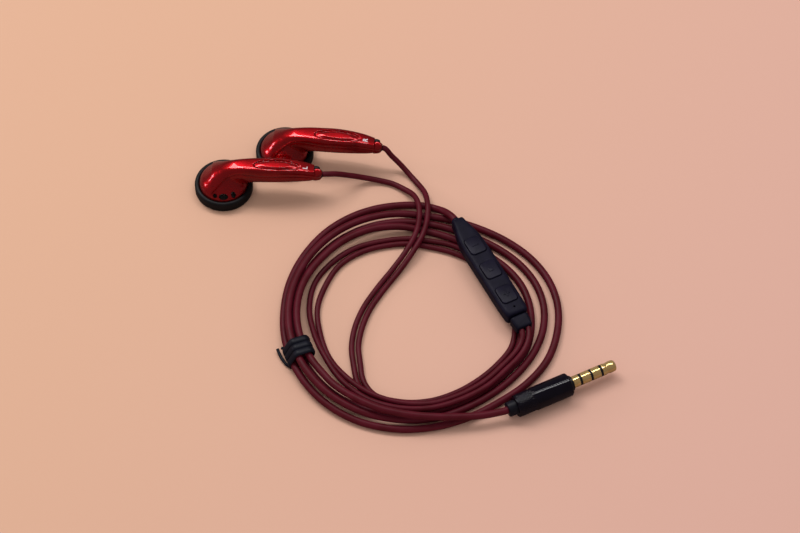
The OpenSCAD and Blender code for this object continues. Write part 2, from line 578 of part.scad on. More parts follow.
function thin_point(k, inner) = let (a = THIN_START - 360 * k / STEPS, lay = thin_lay[k])
    [COIL[0] + lay[inner] * cos(a), COIL[1] + lay[inner] * sin(a), thin_r - 0.85 + lay[2 + inner]];
left_coil = [for (k = [0:thin_steps]) thin_point(k, 0)];
right_coil = [for (k = [0:thin_steps]) thin_point(k, 1)];
function from_remote(x, y, z) = [remote_x + x * cos(remote_yaw) - y * sin(remote_yaw),
                                 remote_y + x * sin(remote_yaw) + y * cos(remote_yaw), remote_z + z];
remote_axis = [cos(remote_yaw), sin(remote_yaw), 0];
plug_axis = [cos(plug_yaw), sin(plug_yaw), 0];

// Free stretches, as points chosen by hand between the pieces that they join.
main_lead = [
    [plug_x, plug_y, barrel_r], [61.4, -88.9, 3.5], [57.2, -89.8, 3.6], [52.2, -90.3, 3.8], [46.4, -90.7, 4.3],
    [40, -90.8, 4.9], [33.9, -90.1, 5.3], [28.1, -88.6, 5.4], [23, -86.2, 5.4], [18.3, -83.2, 5.3], [14.4, -79.9, 5.1],
    [11.8, -76.7, 5], main_coil[0]];
main_tail = [
    main_coil[main_steps], [44.7, -15, 1.6], [47.1, -16.9, 2.8], [48.9, -19.1, 3.9],
    from_remote(-neck_out, 0, cord_z)];
left_tail = [
    from_remote(remote_length + collar_length, 1.05, cord_z), [71.5, -61.4, 4.2], [71.25, -63.6, 3.9],
    [70.25, -66.5, 3.5], [68.1, -69.9, 3.3], left_coil[0]];
right_tail = [
    from_remote(remote_length + collar_length, -1.05, cord_z), [69.62, -62.35, 4.05], [69.32, -64, 3.6],
    [68.3, -66.3, 3.2], [66.3, -69.1, 2.9], right_coil[0]];
left_lead = [
    left_coil[thin_steps], [22.6, -79.4, 0.9], [21.2, -76.3, 0.9], [20.6, -73.3, 0.9], [20.1, -69.9, 0.9],
    [19.6, -65.4, 0.9], [20.2, -59, 0.9], [22.6, -51.4, 0.9], [26.7, -44, 0.9], [31.6, -37, 1.4],
    [35.6, -31.2, 2.6], [38.4, -25.6, 3.6], [39.5, -20, 3.6], [39.2, -13.9, 3.3], [37.6, -9.9, 2.1],
    [35, -7.3, 1.2], [31.4, -5, 0.9], [27, -3.9, 1.2], [22.5, -3.9, 2.6], [18.2, -4.8, 4.9], [14.2, -6, 7.2],
    exit_point(left_x, left_y, left_yaw)];
right_lead = [
    right_coil[thin_steps], [23.7, -77.7, 0.9], [22.7, -74.8, 0.9], [22.3, -71.5, 0.9], [21.9, -68.2, 0.9],
    [21.6, -64.6, 0.9], [22.4, -58.6, 0.9], [24.7, -51.6, 0.9], [28.7, -44.5, 0.9], [33.6, -37.5, 1.4],
    [37.6, -31.4, 2.5], [40.5, -25.8, 3.3], [41.9, -20, 3.4], [42, -13.6, 3.3], [41.1, -9, 2.1],
    [39.4, -5.6, 1.2], [37, -2.2, 1.1], [34.2, 0.6, 2.6], [31.2, 2.2, 5.4], exit_point(right_x, right_y, right_yaw)];
function exit_point(x, y, yaw) = [x + relief_end * cos(yaw), y + relief_end * sin(yaw), exit_z];
left_axis = [cos(left_yaw), sin(left_yaw), 0];
right_axis = [cos(right_yaw), sin(right_yaw), 0];

main_red = [0.34, 0.09, 0.13];
module cord_lead(path, r, first, last) color(main_red) tube(path, r, 8, first, last);
module cord_coil(path, r) color(main_red) tube(path, r, 6, path[1] - path[0], path[len(path) - 1] - path[len(path) - 2]);
module main_cord_lead() cord_lead(main_lead, main_r, -plug_axis, main_coil[1] - main_coil[0]);
module main_cord_tail() cord_lead(main_tail, main_r, main_coil[main_steps] - main_coil[main_steps - 1], remote_axis);
module left_cord_tail() cord_lead(left_tail, thin_r, remote_axis, left_coil[1] - left_coil[0]);
module right_cord_tail() cord_lead(right_tail, thin_r, remote_axis, right_coil[1] - right_coil[0]);
module left_cord_lead() cord_lead(left_lead, thin_r, left_coil[thin_steps] - left_coil[thin_steps - 1], -left_axis);
module right_cord_lead() cord_lead(right_lead, thin_r, right_coil[thin_steps] - right_coil[thin_steps - 1], -right_axis);
module main_cord_coil() cord_coil(main_coil, main_r);
module left_cord_coil() cord_coil(left_coil, thin_r);
module right_cord_coil() cord_coil(right_coil, thin_r);

// Least gap of a coil to itself, over points at least a quarter of a turn apart.
function self_gap(path, d) = min([for (i = [0:len(path) - 1], j = [i + STEPS / 4:1:len(path) - 1])
    norm(path[i] - path[j]) - d]);
echo(main_coil_gap = self_gap(main_coil, main_d), left_coil_gap = self_gap(left_coil, thin_d),
     right_coil_gap = self_gap(right_coil, thin_d));

// ---- twist tie: three turns of ribbon round the main cord's four strands, and its two ends
tie_step = tie_w + 0.3;
tie_strands = [for (k = [0:3]) (main_coil[STEPS * k] + main_coil[STEPS * k + 1]) / 2];
tie_middle = (tie_strands[0] + tie_strands[3]) / 2;
tie_run = unit(main_coil[STEPS + 1] - main_coil[STEPS] + main_coil[2 * STEPS + 1] - main_coil[2 * STEPS]);
tie_out = unit(cross(tie_run, [0, 0, -1]));
tie_gap = 0.12;
function tie_flat(p) = [(p - tie_middle) * tie_out, p[2]];
tie_side = tie_flat(tie_strands[3]) + [main_r + tie_gap + tie_t / 2, 0];
tie_tail = [[2, -71.5], [0.6, -70.5], [-0.6, -68.8], [-1.5, -67.1], [-2.1, -65.4]];
module tie_outline(grow) hull() for (p = tie_strands) translate(tie_flat(p)) circle(main_r + grow, $fn = 32);
module cable_tie() color([0.05, 0.05, 0.06]) {
    translate([tie_middle[0], tie_middle[1], 0]) rotate([0, 0, atan2(tie_out[1], tie_out[0])]) rotate([90, 0, 0]) {
        for (k = [-1:1]) translate([0, 0, k * tie_step - tie_w / 2]) linear_extrude(tie_w) difference() {
            tie_outline(tie_t + tie_gap);
            tie_outline(tie_gap);
        }
        translate([tie_side[0] - 0.3, tie_side[1] - 0.4, -tie_step])
            cube([0.6, 0.8, 2 * tie_step + tie_w / 2 + 0.9]);
    }
    translate([0, 0, 0.4]) linear_extrude(1) for (k = [0:len(tie_tail) - 2])
        hull() for (p = [tie_tail[k], tie_tail[k + 1]]) translate(p) circle(0.3, $fn = 16);
}

at_left() rubber_ring();  // left_rubber_ring
at_left() front_grille();  // left_front_grille
at_left() driver_frame();  // left_driver_frame
at_left() diaphragm();  // left_diaphragm
at_left() voice_coil();  // left_voice_coil
at_left() top_plate();  // left_top_plate
at_left() magnet();  // left_magnet
at_left() yoke();  // left_yoke
at_left() rear_shell();  // left_rear_shell
at_left() stem_base();  // left_stem_base
at_left() stem_cover();  // left_stem_cover
at_left() stem_inlay();  // left_stem_inlay
at_left() stem_cap();  // left_stem_cap
at_left() strain_relief();  // left_strain_relief
at_left() lead_wires();  // left_lead_wires
at_right() rubber_ring();  // right_rubber_ring
at_right() front_grille();  // right_front_grille
at_right() driver_frame();  // right_driver_frame
at_right() diaphragm();  // right_diaphragm
at_right() voice_coil();  // right_voice_coil
at_right() top_plate();  // right_top_plate
at_right() magnet();  // right_magnet
at_right() yoke();  // right_yoke
at_right() rear_shell();  // right_rear_shell
at_right() stem_base();  // right_stem_base
at_right() stem_cover();  // right_stem_cover
at_right() stem_inlay();  // right_stem_inlay
at_right() stem_cap();  // right_stem_cap
at_right() strain_relief();  // right_strain_relief
at_right() lead_wires();  // right_lead_wires
grille_cloths();
terminal_boards();
vent_screens();
at_remote() remote_top_cover();
at_remote() remote_bottom_cover();
minus_button();
middle_button();
plus_button();
at_remote() remote_board();
at_remote() tact_switches();
at_remote() microphone();
at_remote() remote_collar();
at_remote() remote_neck();
at_plug() plug_tip();
at_plug() plug_ring_1();
at_plug() plug_ring_2();
at_plug() plug_sleeve();
at_plug() plug_core();
at_plug() plug_barrel();
at_plug() plug_strain_relief();
main_cord_lead();
main_cord_coil();
main_cord_tail();
left_cord_tail();
left_cord_coil();
left_cord_lead();
right_cord_tail();
right_cord_coil();
right_cord_lead();
cable_tie();
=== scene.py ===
"""Wired earphones: two red earbuds, an in-line remote, a coiled burgundy cord and a gold plug.

Lengths are in millimetres in the tables below and in metres in Blender.
"""

import json
import math

import bmesh
import bpy
from mathutils import Matrix, Vector


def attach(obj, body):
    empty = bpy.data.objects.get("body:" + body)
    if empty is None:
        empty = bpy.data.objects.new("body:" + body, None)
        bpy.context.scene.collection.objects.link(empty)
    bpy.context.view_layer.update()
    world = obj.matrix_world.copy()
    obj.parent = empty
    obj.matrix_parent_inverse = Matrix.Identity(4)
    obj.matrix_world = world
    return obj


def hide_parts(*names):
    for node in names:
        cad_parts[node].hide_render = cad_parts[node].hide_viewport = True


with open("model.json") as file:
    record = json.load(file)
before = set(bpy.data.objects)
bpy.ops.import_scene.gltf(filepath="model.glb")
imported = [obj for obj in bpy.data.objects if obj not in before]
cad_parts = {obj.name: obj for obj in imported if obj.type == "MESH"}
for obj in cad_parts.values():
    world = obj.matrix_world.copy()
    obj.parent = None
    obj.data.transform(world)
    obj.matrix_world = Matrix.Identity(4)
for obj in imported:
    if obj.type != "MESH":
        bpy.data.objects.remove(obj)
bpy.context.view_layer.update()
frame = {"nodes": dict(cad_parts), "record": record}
MM = 0.001

# Where the pieces lie, as in the model.
STEM_LENGTH, CAP_LENGTH, RELIEF_OUT = 27.6, 1.7, 0.7
RELIEF_END = STEM_LENGTH + CAP_LENGTH + RELIEF_OUT
EXIT_Z = 8.4
LEFT_AT, LEFT_YAW = (-19.6805, -6.2), -1.5
RIGHT_AT, RIGHT_YAW = (-1.4805, 6.2), -6.0
REMOTE_AT, REMOTE_YAW, REMOTE_Z = (50.8, -22.1), -63.0, 2.35
REMOTE_LENGTH, COLLAR_LENGTH, CORD_Z, NECK_OUT = 38.4, 4.5, 1.95, 1.2
PLUG_AT, PLUG_YAW, BARREL_R = (64.7, -87.9), 26.3, 3.5
MAIN_D, THIN_D = 2.2, 1.7


def turn(degrees):
    return math.cos(math.radians(degrees)), math.sin(math.radians(degrees))


def at(x, y, z):
    return Matrix.Translation(Vector((x, y, z)) * MM)


def about(axis, degrees):
    return Matrix.Rotation(math.radians(degrees), 4, axis)


def frame_at(place, yaw, height=0.0):
    """The matrix of a piece's own frame: its place on the table, its heading and its height."""
    return at(*place, height) @ about("Z", yaw)


LEFT, RIGHT = frame_at(LEFT_AT, LEFT_YAW), frame_at(RIGHT_AT, RIGHT_YAW)
REMOTE = frame_at(REMOTE_AT, REMOTE_YAW, REMOTE_Z)
PLUG = frame_at(PLUG_AT, PLUG_YAW, BARREL_R) @ about("Y", 90)


# ---------------------------------------------------------------- finishes
class Number:
    """A number that runs through a finish's nodes and takes Python's arithmetic."""

    def __init__(self, finish, socket):
        self.finish, self.socket = finish, socket

    def join(self, operation, *terms):
        return self.finish.add("Math", {"operation": operation}, dict(enumerate(terms)))

    def __add__(self, other):
        return self.join("ADD", self, other)

    def __sub__(self, other):
        return self.join("SUBTRACT", self, other)

    def __mul__(self, other):
        return self.join("MULTIPLY", self, other)

    __radd__, __rmul__ = __add__, __mul__

    def between(self, low, high):
        """0 below low, 1 above high and smooth in between."""
        return self.finish.add("MapRange", {"interpolation_type": "SMOOTHSTEP"},
                               {"Value": self, "From Min": low, "From Max": high})


class Finish:
    """A material under way: one Principled shader and what feeds it."""

    def __init__(self, name, **shader):
        self.material = bpy.data.materials.new(name)
        self.material.use_nodes = True
        self.tree = self.material.node_tree
        self.shader = self.tree.nodes["Principled BSDF"]
        for key, value in shader.items():
            self.shader.inputs[key.replace("_", " ").title().replace("Ior", "IOR")].default_value = value
        self.place = self.add("TexCoord", {}, {}, "Object")

    def add(self, kind, settings, values, out=0):
        node = self.tree.nodes.new("ShaderNode" + kind)
        for key, value in settings.items():
            setattr(node, key, value)
        for key, value in values.items():
            self.feed(node.inputs[key], value)
        return Number(self, node.outputs[out])

    def feed(self, socket, value):
        if isinstance(value, Number):
            self.tree.links.new(value.socket, socket)
        else:
            socket.default_value = value

    def noise(self, size, detail=2.0, roughness=0.5, place=None):
        """Soft cloudy noise whose features are about that many millimetres."""
        return self.add("TexNoise", {}, {"Vector": place or self.place, "Scale": 1 / (size * MM),
                                         "Detail": detail, "Roughness": roughness})

    def stretched(self, x, y, z):
        return self.add("Mapping", {"vector_type": "POINT"}, {"Vector": self.place, "Scale": (x, y, z)})

    def specks(self, size):
        return self.add("TexVoronoi", {}, {"Vector": self.place, "Scale": 1 / (size * MM)})

    def mix(self, share, first, second):
        return self.add("Mix", {"data_type": "RGBA"}, {0: share, 6: first, 7: second}, 2)

    def colour(self, value):
        self.feed(self.shader.inputs["Base Color"], value)

    def rough(self, value):
        self.feed(self.shader.inputs["Roughness"], value)

    def bump(self, height, depth):
        """Raises the surface by that many millimetres where height is 1."""
        self.feed(self.shader.inputs["Normal"], self.add(
            "Bump", {}, {"Strength": 1.0, "Distance": depth * MM, "Height": height}, "Normal"))


def rgb(red, green, blue):
    return (red, green, blue, 1.0)


def lacquer(name, colour, deep):
    """Candy lacquer: a metallic red ground under a clear coat, with flakes and faint rubbing marks."""
    f = Finish(name, metallic=0.85, coat_weight=1.0, coat_roughness=0.03, specular_ior_level=0.1)
    cloud = f.noise(6.0, 2.0)
    flakes = f.specks(0.09)
    tone = f.mix(cloud.between(0.35, 0.7), colour, deep)
    f.colour(f.mix(flakes.between(0.55, 0.2) * 0.16, tone, rgb(0.7, 0.03, 0.03)))
    rubbed = f.noise(0.9, 4.0, 0.7, f.stretched(0.25, 1.0, 1.0))
    f.rough(0.22 + rubbed * 0.12)
    f.bump(f.noise(1.6, 2.0) * 0.6 + f.noise(0.35, 2.0) * 0.15, 0.0022)
    return f.material


def moulded(name, colour, lit, roughness, grain=0.12, depth=0.006, coat=0.0, shine=0.35):
    """Moulded plastic or rubber: a fine spark-eroded grain, soft blotches and polished high spots."""
    f = Finish(name, coat_weight=coat, coat_roughness=0.06, specular_ior_level=shine)
    blotch = f.noise(4.0, 3.0, 0.6)
    fine = f.noise(grain, 3.0, 0.6)
    f.colour(f.mix(blotch.between(0.3, 0.75) * 0.7 + fine * 0.15, colour, lit))
    f.rough(roughness + (f.noise(1.4, 4.0, 0.65) - 0.5) * 0.22)
    f.bump(fine + f.noise(grain * 4, 2.0) * 0.5, depth)
    return f.material


def metal(name, colour, shade, roughness, depth=0.003, metallic=1.0):
    """Turned or stamped metal: fine tool marks, a slightly uneven tone and small stains."""
    f = Finish(name, metallic=metallic)
    marks = f.noise(0.08, 3.0, 0.6)
    stain = f.noise(1.8, 4.0, 0.6)
    f.colour(f.mix(stain.between(0.45, 0.75) * 0.6, colour, shade))
    f.rough(roughness + marks * 0.12 + stain.between(0.5, 0.8) * 0.08)
    f.bump(marks, depth)
    return f.material


def cord_skin():
    """Soft burgundy cord: satin, with a faint bloom, slow waves from the extruder and lint."""
    f = Finish("cord_burgundy", coat_weight=0.02, coat_roughness=0.3, sheen_weight=0.008,
               sheen_roughness=0.4, sheen_tint=rgb(0.7, 0.2, 0.6), specular_ior_level=0.16)
    wave = f.noise(5.0, 3.0, 0.6)
    fine = f.noise(0.22, 3.0, 0.6)
    lint = f.noise(0.6, 5.0, 0.75).between(0.62, 0.78)
    tone = f.mix(wave.between(0.3, 0.7), rgb(0.078, 0.0032, 0.0085), rgb(0.106, 0.0050, 0.0150))
    f.colour(f.mix(lint * 0.2, tone, rgb(0.18, 0.04, 0.07)))
    f.rough(0.4 + (wave - 0.5) * 0.14 + fine * 0.1)
    f.bump(fine * 0.6 + f.noise(1.6, 2.0), 0.012)
    return f.material


THREADS_PER_M = 900.0


def woven_cloth():
    """Acoustic cloth: fine threads that cross at right angles."""
    f = Finish("acoustic_cloth")
    threads = {"Vector": f.place, "Scale": THREADS_PER_M, "Distortion": 0.4}
    weave = (f.add("TexWave", {"bands_direction": "X"}, threads)
             * f.add("TexWave", {"bands_direction": "Y"}, threads))
    f.colour(f.mix(weave, rgb(0.003, 0.003, 0.003), rgb(0.016, 0.016, 0.016)))
    f.rough(0.8 + f.noise(1.0) * 0.15)
    f.bump(weave, 0.03)
    return f.material


def table_top():
    """A pale peach sheet. Its colour drifts from more orange at the far left to pinker at the right, a
    painted tint of the light across the table, and in reflections it is painted dark.
    """
    f = Finish("peach_sheet", specular_ior_level=0.2)
    x, y = (f.add("SeparateXYZ", {}, {"Vector": f.place}, axis) for axis in ("X", "Y"))
    # Painted light: the sheet's colour drifts from more orange at the far left to pinker at the right.
    slope = (x * 3.4 - y * 1.4 + 0.3).between(0.0, 1.0)
    ground = f.mix(slope, rgb(0.766, 0.458, 0.306), rgb(0.764, 0.451, 0.364))
    # Painted reflection: seen in a reflection, the sheet is painted dark brown.
    mirrored = f.add("LightPath", {}, {}, "Is Glossy Ray")
    sheet = f.mix(f.noise(0.5, 4.0, 0.7) * 0.05, ground, rgb(0.5, 0.28, 0.2))
    f.colour(f.mix(mirrored * 0.78, sheet, rgb(0.06, 0.03, 0.03)))
    f.rough(0.62 + f.noise(3.0, 3.0) * 0.1)
    f.bump(f.noise(0.25, 3.0, 0.6), 0.01)
    return f.material


SKINS = {
    "red_shell": lacquer("red_lacquer", rgb(0.46, 0.002, 0.007), rgb(0.34, 0.0012, 0.004)),
    "red_inlay": lacquer("red_inlay_lacquer", rgb(0.50, 0.0025, 0.009), rgb(0.38, 0.0015, 0.005)),
    "rubber_ring": moulded("ring_rubber", rgb(0.0055, 0.0055, 0.0065), rgb(0.012, 0.011, 0.0125), 0.46,
                           shine=0.2),
    "black_bush": moulded("bush_rubber", rgb(0.006, 0.005, 0.006), rgb(0.012, 0.011, 0.012), 0.45),
    "remote_case": moulded("remote_plastic", rgb(0.0050, 0.0042, 0.0125), rgb(0.0100, 0.0088, 0.0230), 0.42,
                           grain=0.1, depth=0.01, shine=0.1),
    "remote_button": moulded("button_plastic", rgb(0.0055, 0.0046, 0.0135), rgb(0.0110, 0.0095, 0.0250), 0.34,
                             grain=0.1, shine=0.14),
    "remote_rubber": moulded("collar_rubber", rgb(0.0050, 0.0044, 0.0115), rgb(0.0105, 0.0095, 0.0215), 0.42,
                             shine=0.1),
    "barrel_black": moulded("barrel_lacquer", rgb(0.0012, 0.0012, 0.0042), rgb(0.0028, 0.0028, 0.0080), 0.12,
                            grain=0.3, depth=0.0002, coat=0.35, shine=0.2),
    "plug_black": moulded("insulator_plastic", rgb(0.005, 0.005, 0.007), rgb(0.011, 0.011, 0.015), 0.3),
    "plug_bush": moulded("plug_bush_rubber", rgb(0.0055, 0.0055, 0.0105), rgb(0.012, 0.012, 0.0205), 0.42,
                         shine=0.2),
    "tie": moulded("tie_plastic", rgb(0.0036, 0.0040, 0.0085), rgb(0.0085, 0.0100, 0.0185), 0.40,
                   grain=0.2, depth=0.012, shine=0.16),
    "driver_plastic": moulded("driver_plastic", rgb(0.52, 0.52, 0.48), rgb(0.62, 0.62, 0.58), 0.45),
    "film": moulded("diaphragm_film", rgb(0.62, 0.55, 0.32), rgb(0.72, 0.66, 0.45), 0.25,
                    grain=0.3, depth=0.004, coat=0.4),
    "board": moulded("circuit_board", rgb(0.02, 0.16, 0.06), rgb(0.04, 0.24, 0.1), 0.35,
                     grain=0.3, depth=0.004, coat=0.4),
    "magnet": moulded("magnet_body", rgb(0.25, 0.25, 0.27), rgb(0.34, 0.34, 0.36), 0.42),
    "grille_steel": metal("grille_steel", rgb(0.12, 0.12, 0.13), rgb(0.07, 0.07, 0.075), 0.35),
    "magnet_steel": metal("yoke_steel", rgb(0.58, 0.58, 0.60), rgb(0.42, 0.42, 0.43), 0.25),
    "switch_steel": metal("switch_steel", rgb(0.6, 0.6, 0.62), rgb(0.45, 0.45, 0.46), 0.28),
    "microphone": metal("microphone_can", rgb(0.65, 0.65, 0.66), rgb(0.5, 0.5, 0.5), 0.25),
    "copper": metal("copper_wire", rgb(0.75, 0.36, 0.18), rgb(0.5, 0.22, 0.1), 0.25),
    "gold": metal("gold_plate", rgb(1.0, 0.75, 0.31), rgb(0.93, 0.62, 0.21), 0.07,
                  depth=0.0006, metallic=0.82),
    "cloth": woven_cloth(),
    "cord": cord_skin(),
}
MARK_WHITE = moulded("mark_white", rgb(0.72, 0.62, 0.66), rgb(0.85, 0.78, 0.8), 0.4)
# Painted shade: the vent holes' walls take this near-black instead of the red shell's own colour.
VENT_SHADE = moulded("vent_painted_shade", rgb(0.004, 0.003, 0.003), rgb(0.009, 0.006, 0.006), 0.7)


# ---------------------------------------------------------------- modelling
# The radius that stands for the axis of a turned piece, and how far a drawn body's ends are inset.
ON_AXIS, END_INSET = 0.001, 0.25


def let_go():
    if bpy.context.object and bpy.context.object.mode == "EDIT":
        bpy.ops.object.mode_set(mode="OBJECT")
    bpy.ops.object.select_all(action="DESELECT")


def choose(piece):
    """Selects one piece alone."""
    let_go()
    piece.select_set(True)
    bpy.context.view_layer.objects.active = piece


def new_piece(name):
    """Names the object that was just added and leaves it active."""
    piece = bpy.context.object
    piece.name = piece.data.name = name
    return piece


def edit(piece):
    bpy.context.view_layer.objects.active = piece
    bpy.ops.object.mode_set(mode="EDIT")
    bpy.ops.mesh.select_mode(type="VERT")


def all_of_it():
    bpy.ops.mesh.select_all(action="SELECT")


def tidy_up(weld=0.0):
    """Welds what lies closer than that, faces the whole mesh outward and leaves edit mode."""
    all_of_it()
    if weld:
        bpy.ops.mesh.remove_doubles(threshold=weld * MM)
    bpy.ops.mesh.normals_make_consistent(inside=False)
    bpy.ops.object.mode_set(mode="OBJECT")


def extruded(x, y, z):
    bpy.ops.mesh.extrude_region_move(TRANSFORM_OT_translate={"value": Vector((x, y, z)) * MM})


def modify(piece, kind, **settings):
    """Adds a modifier and applies it at once."""
    modifier = piece.modifiers.new(kind.title(), kind)
    for key, value in settings.items():
        setattr(modifier, key, value)
    choose(piece)
    bpy.ops.object.modifier_apply(modifier=modifier.name)
    return piece


def pick(test):
    """Selects the edges that a test accepts, in edit mode."""
    bpy.ops.mesh.select_mode(type="EDGE")
    mesh = bmesh.from_edit_mesh(bpy.context.object.data)
    for seq in (mesh.verts, mesh.edges, mesh.faces):
        for item in seq:
            item.select = False
    for edge in mesh.edges:
        if test(edge):
            edge.select_set(True)
    mesh.select_flush_mode()
    bmesh.update_edit_mesh(bpy.context.object.data)


def turned(name, outline, sides=96):
    """A turned piece: a circle drawn out along (radius, height), closed at the axis or on itself."""
    outline = [(max(r, ON_AXIS), z) for r, z in outline]
    radius, height = outline[0]
    let_go()
    bpy.ops.mesh.primitive_circle_add(vertices=sides, radius=radius * MM, location=(0, 0, height * MM),
                                      fill_type="NOTHING")
    piece = new_piece(name)
    bpy.ops.object.transform_apply(location=True)
    edit(piece)
    all_of_it()
    for r, z in outline[1:]:
        extruded(0, 0, z - height)
        bpy.ops.transform.resize(value=(r / radius, r / radius, 1), center_override=(0, 0, z * MM))
        radius, height = r, z
    tidy_up(weld=4 * ON_AXIS)
    return piece


def block(name, length, width, height, corner=0.0, edge=0.0):
    """A block on z = 0 with rounded corners in plan and a rounded upper edge."""
    let_go()
    bpy.ops.mesh.primitive_cube_add(size=1)
    piece = new_piece(name)
    edit(piece)
    all_of_it()
    bpy.ops.transform.translate(value=(0, 0, 0.5))
    bpy.ops.transform.resize(value=Vector((length, width, height)) * MM, center_override=(0, 0, 0))
    if corner:
        pick(lambda e: abs(e.verts[0].co.z - e.verts[1].co.z) > 0.5 * height * MM)
        bpy.ops.mesh.bevel(offset=corner * MM, segments=6, affect="EDGES")
    if edge:
        pick(lambda e: all(v.co.z > 0.999 * height * MM for v in e.verts) and len(e.link_faces) == 2
             and any(abs(f.normal.z) < 0.5 for f in e.link_faces))
        bpy.ops.mesh.bevel(offset=edge * MM, segments=3, affect="EDGES")
    bpy.ops.object.mode_set(mode="OBJECT")
    return piece


def drawn(name, stations, corner, sides, levels=2):
    """A body drawn out along X through its stations of (x, half width, underside, back)."""
    let_go()
    bpy.ops.mesh.primitive_plane_add(size=1, rotation=(0, math.radians(90), 0))
    piece = new_piece(name)
    bpy.ops.object.transform_apply(rotation=True)
    edit(piece)
    all_of_it()
    bpy.ops.mesh.bevel(offset=corner, segments=sides, affect="VERTICES")
    x, half, low, high = stations[0]
    all_of_it()
    bpy.ops.transform.resize(value=(1, 2 * half * MM, (high - low) * MM), center_override=(0, 0, 0))
    bpy.ops.transform.translate(value=(x * MM, 0, (high + low) / 2 * MM))
    bpy.ops.mesh.inset(thickness=END_INSET * half * MM)
    pick(lambda e: e.is_boundary)
    for x2, half2, low2, high2 in stations[1:]:
        middle = (high2 + low2) / 2
        extruded(x2 - x, 0, middle - (high + low) / 2)
        bpy.ops.transform.resize(value=(1, half2 / half, (high2 - low2) / (high - low)),
                                 center_override=(x2 * MM, 0, middle * MM))
        x, half, low, high = x2, half2, low2, high2
    bpy.ops.mesh.edge_face_add()
    bpy.ops.mesh.inset(thickness=END_INSET * half * MM)
    tidy_up()
    return modify(piece, "SUBSURF", levels=levels, render_levels=levels)


def put(piece, matrix):
    """Moves a piece's mesh from its own frame to its place."""
    piece.matrix_world = matrix
    choose(piece)
    bpy.ops.object.transform_apply(location=True, rotation=True, scale=True)
    return piece


def copy_of(piece, name):
    twin = piece.copy()
    twin.data = piece.data.copy()
    bpy.context.scene.collection.objects.link(twin)
    twin.name = twin.data.name = name
    return twin


def joined(name, *parts):
    let_go()
    for part in parts:
        part.select_set(True)
    bpy.context.view_layer.objects.active = parts[0]
    bpy.ops.object.join()
    return new_piece(name)


def cut(piece, cutter, operation="DIFFERENCE"):
    modify(piece, "BOOLEAN", object=cutter, operation=operation, solver="EXACT", material_mode="TRANSFER")
    bpy.data.objects.remove(cutter)
    return piece


def skin(piece, slot, body="earphones", stands_for=(), angle=38):
    """Gives a piece its finish, shading and body, and hides the nodes that it stands for."""
    if piece.type == "MESH":
        choose(piece)
        bpy.ops.object.shade_smooth_by_angle(angle=math.radians(angle))
    if not piece.data.materials:
        piece.data.materials.append(SKINS[slot])
    else:
        piece.data.materials[0] = SKINS[slot]
    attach(piece, body)
    if stands_for:
        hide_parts(*stands_for)
    return piece


def sheet_over(name, columns, rows, place):
    """A grid laid over a surface: place turns grid shares from -1 to 1 into a point in millimetres."""
    let_go()
    bpy.ops.mesh.primitive_grid_add(x_subdivisions=columns, y_subdivisions=rows, size=2)
    piece = new_piece(name)
    for v in piece.data.vertices:
        v.co = Vector(place(v.co.x, v.co.y)) * MM
    return piece


def thicken(piece, depth, edge, sharp=50):
    """Draws a sheet down into a plate and rounds its rim."""
    edit(piece)
    all_of_it()
    extruded(0, 0, -depth)
    all_of_it()
    bpy.ops.mesh.normals_make_consistent(inside=False)
    bpy.ops.mesh.select_all(action="DESELECT")
    bpy.ops.mesh.edges_select_sharp(sharpness=math.radians(sharp))
    bpy.ops.mesh.bevel(offset=edge * MM, segments=3, affect="EDGES", clamp_overlap=True)
    bpy.ops.object.mode_set(mode="OBJECT")
    return piece


def rod(name, radius, start, end, sides=32):
    """A cylinder between two points in millimetres."""
    let_go()
    a, b = Vector(start) * MM, Vector(end) * MM
    bpy.ops.mesh.primitive_cylinder_add(vertices=sides, radius=radius * MM, depth=(b - a).length,
                                        location=(a + b) / 2,
                                        rotation=(b - a).to_track_quat("Z", "Y").to_euler())
    piece = new_piece(name)
    bpy.ops.object.transform_apply(location=True, rotation=True)
    return piece


def moved(piece, x=0, y=0, z=0):
    piece.data.transform(at(x, y, z))
    return piece


def wire(name, points, thick, rounding, ring=False):
    """A round wire along points in millimetres, as a curve."""
    data = bpy.data.curves.new(name, "CURVE")
    data.dimensions = "3D"
    data.bevel_depth, data.bevel_resolution, data.use_fill_caps = thick / 2 * MM, rounding, True
    spline = data.splines.new("POLY")
    spline.points.add(len(points) - 1)
    for spot, place in zip(spline.points, points):
        spot.co = (*(Vector(place) * MM), 1)
    spline.use_cyclic_u = ring
    piece = bpy.data.objects.new(name, data)
    bpy.context.scene.collection.objects.link(piece)
    return piece


def cubic(s, start, leave, end, arrive):
    """The point at share s of a smooth step from start to end, with its slopes at both."""
    return ((2 * s ** 3 - 3 * s ** 2 + 1) * start + (s ** 3 - 2 * s ** 2 + s) * leave
            + (3 * s ** 2 - 2 * s ** 3) * end + (s ** 3 - s ** 2) * arrive)


def read_off(rows, x):
    """The other columns of a table at x, on a smooth line through its rows."""
    x = min(max(x, rows[0][0]), rows[-1][0])
    k = max(i for i in range(len(rows) - 1) if rows[i][0] <= x)
    a, b = rows[k], rows[k + 1]
    span = b[0] - a[0]
    out = []
    for c in range(1, len(a)):
        slope = (b[c] - a[c]) / span
        before = (a[c] - rows[k - 1][c]) / (a[0] - rows[k - 1][0]) if k else slope
        after = (rows[k + 2][c] - b[c]) / (rows[k + 2][0] - b[0]) if k + 2 < len(rows) else slope
        out.append(cubic((x - a[0]) / span, a[c], (before + slope) / 2 * span,
                         b[c], (slope + after) / 2 * span))
    return out


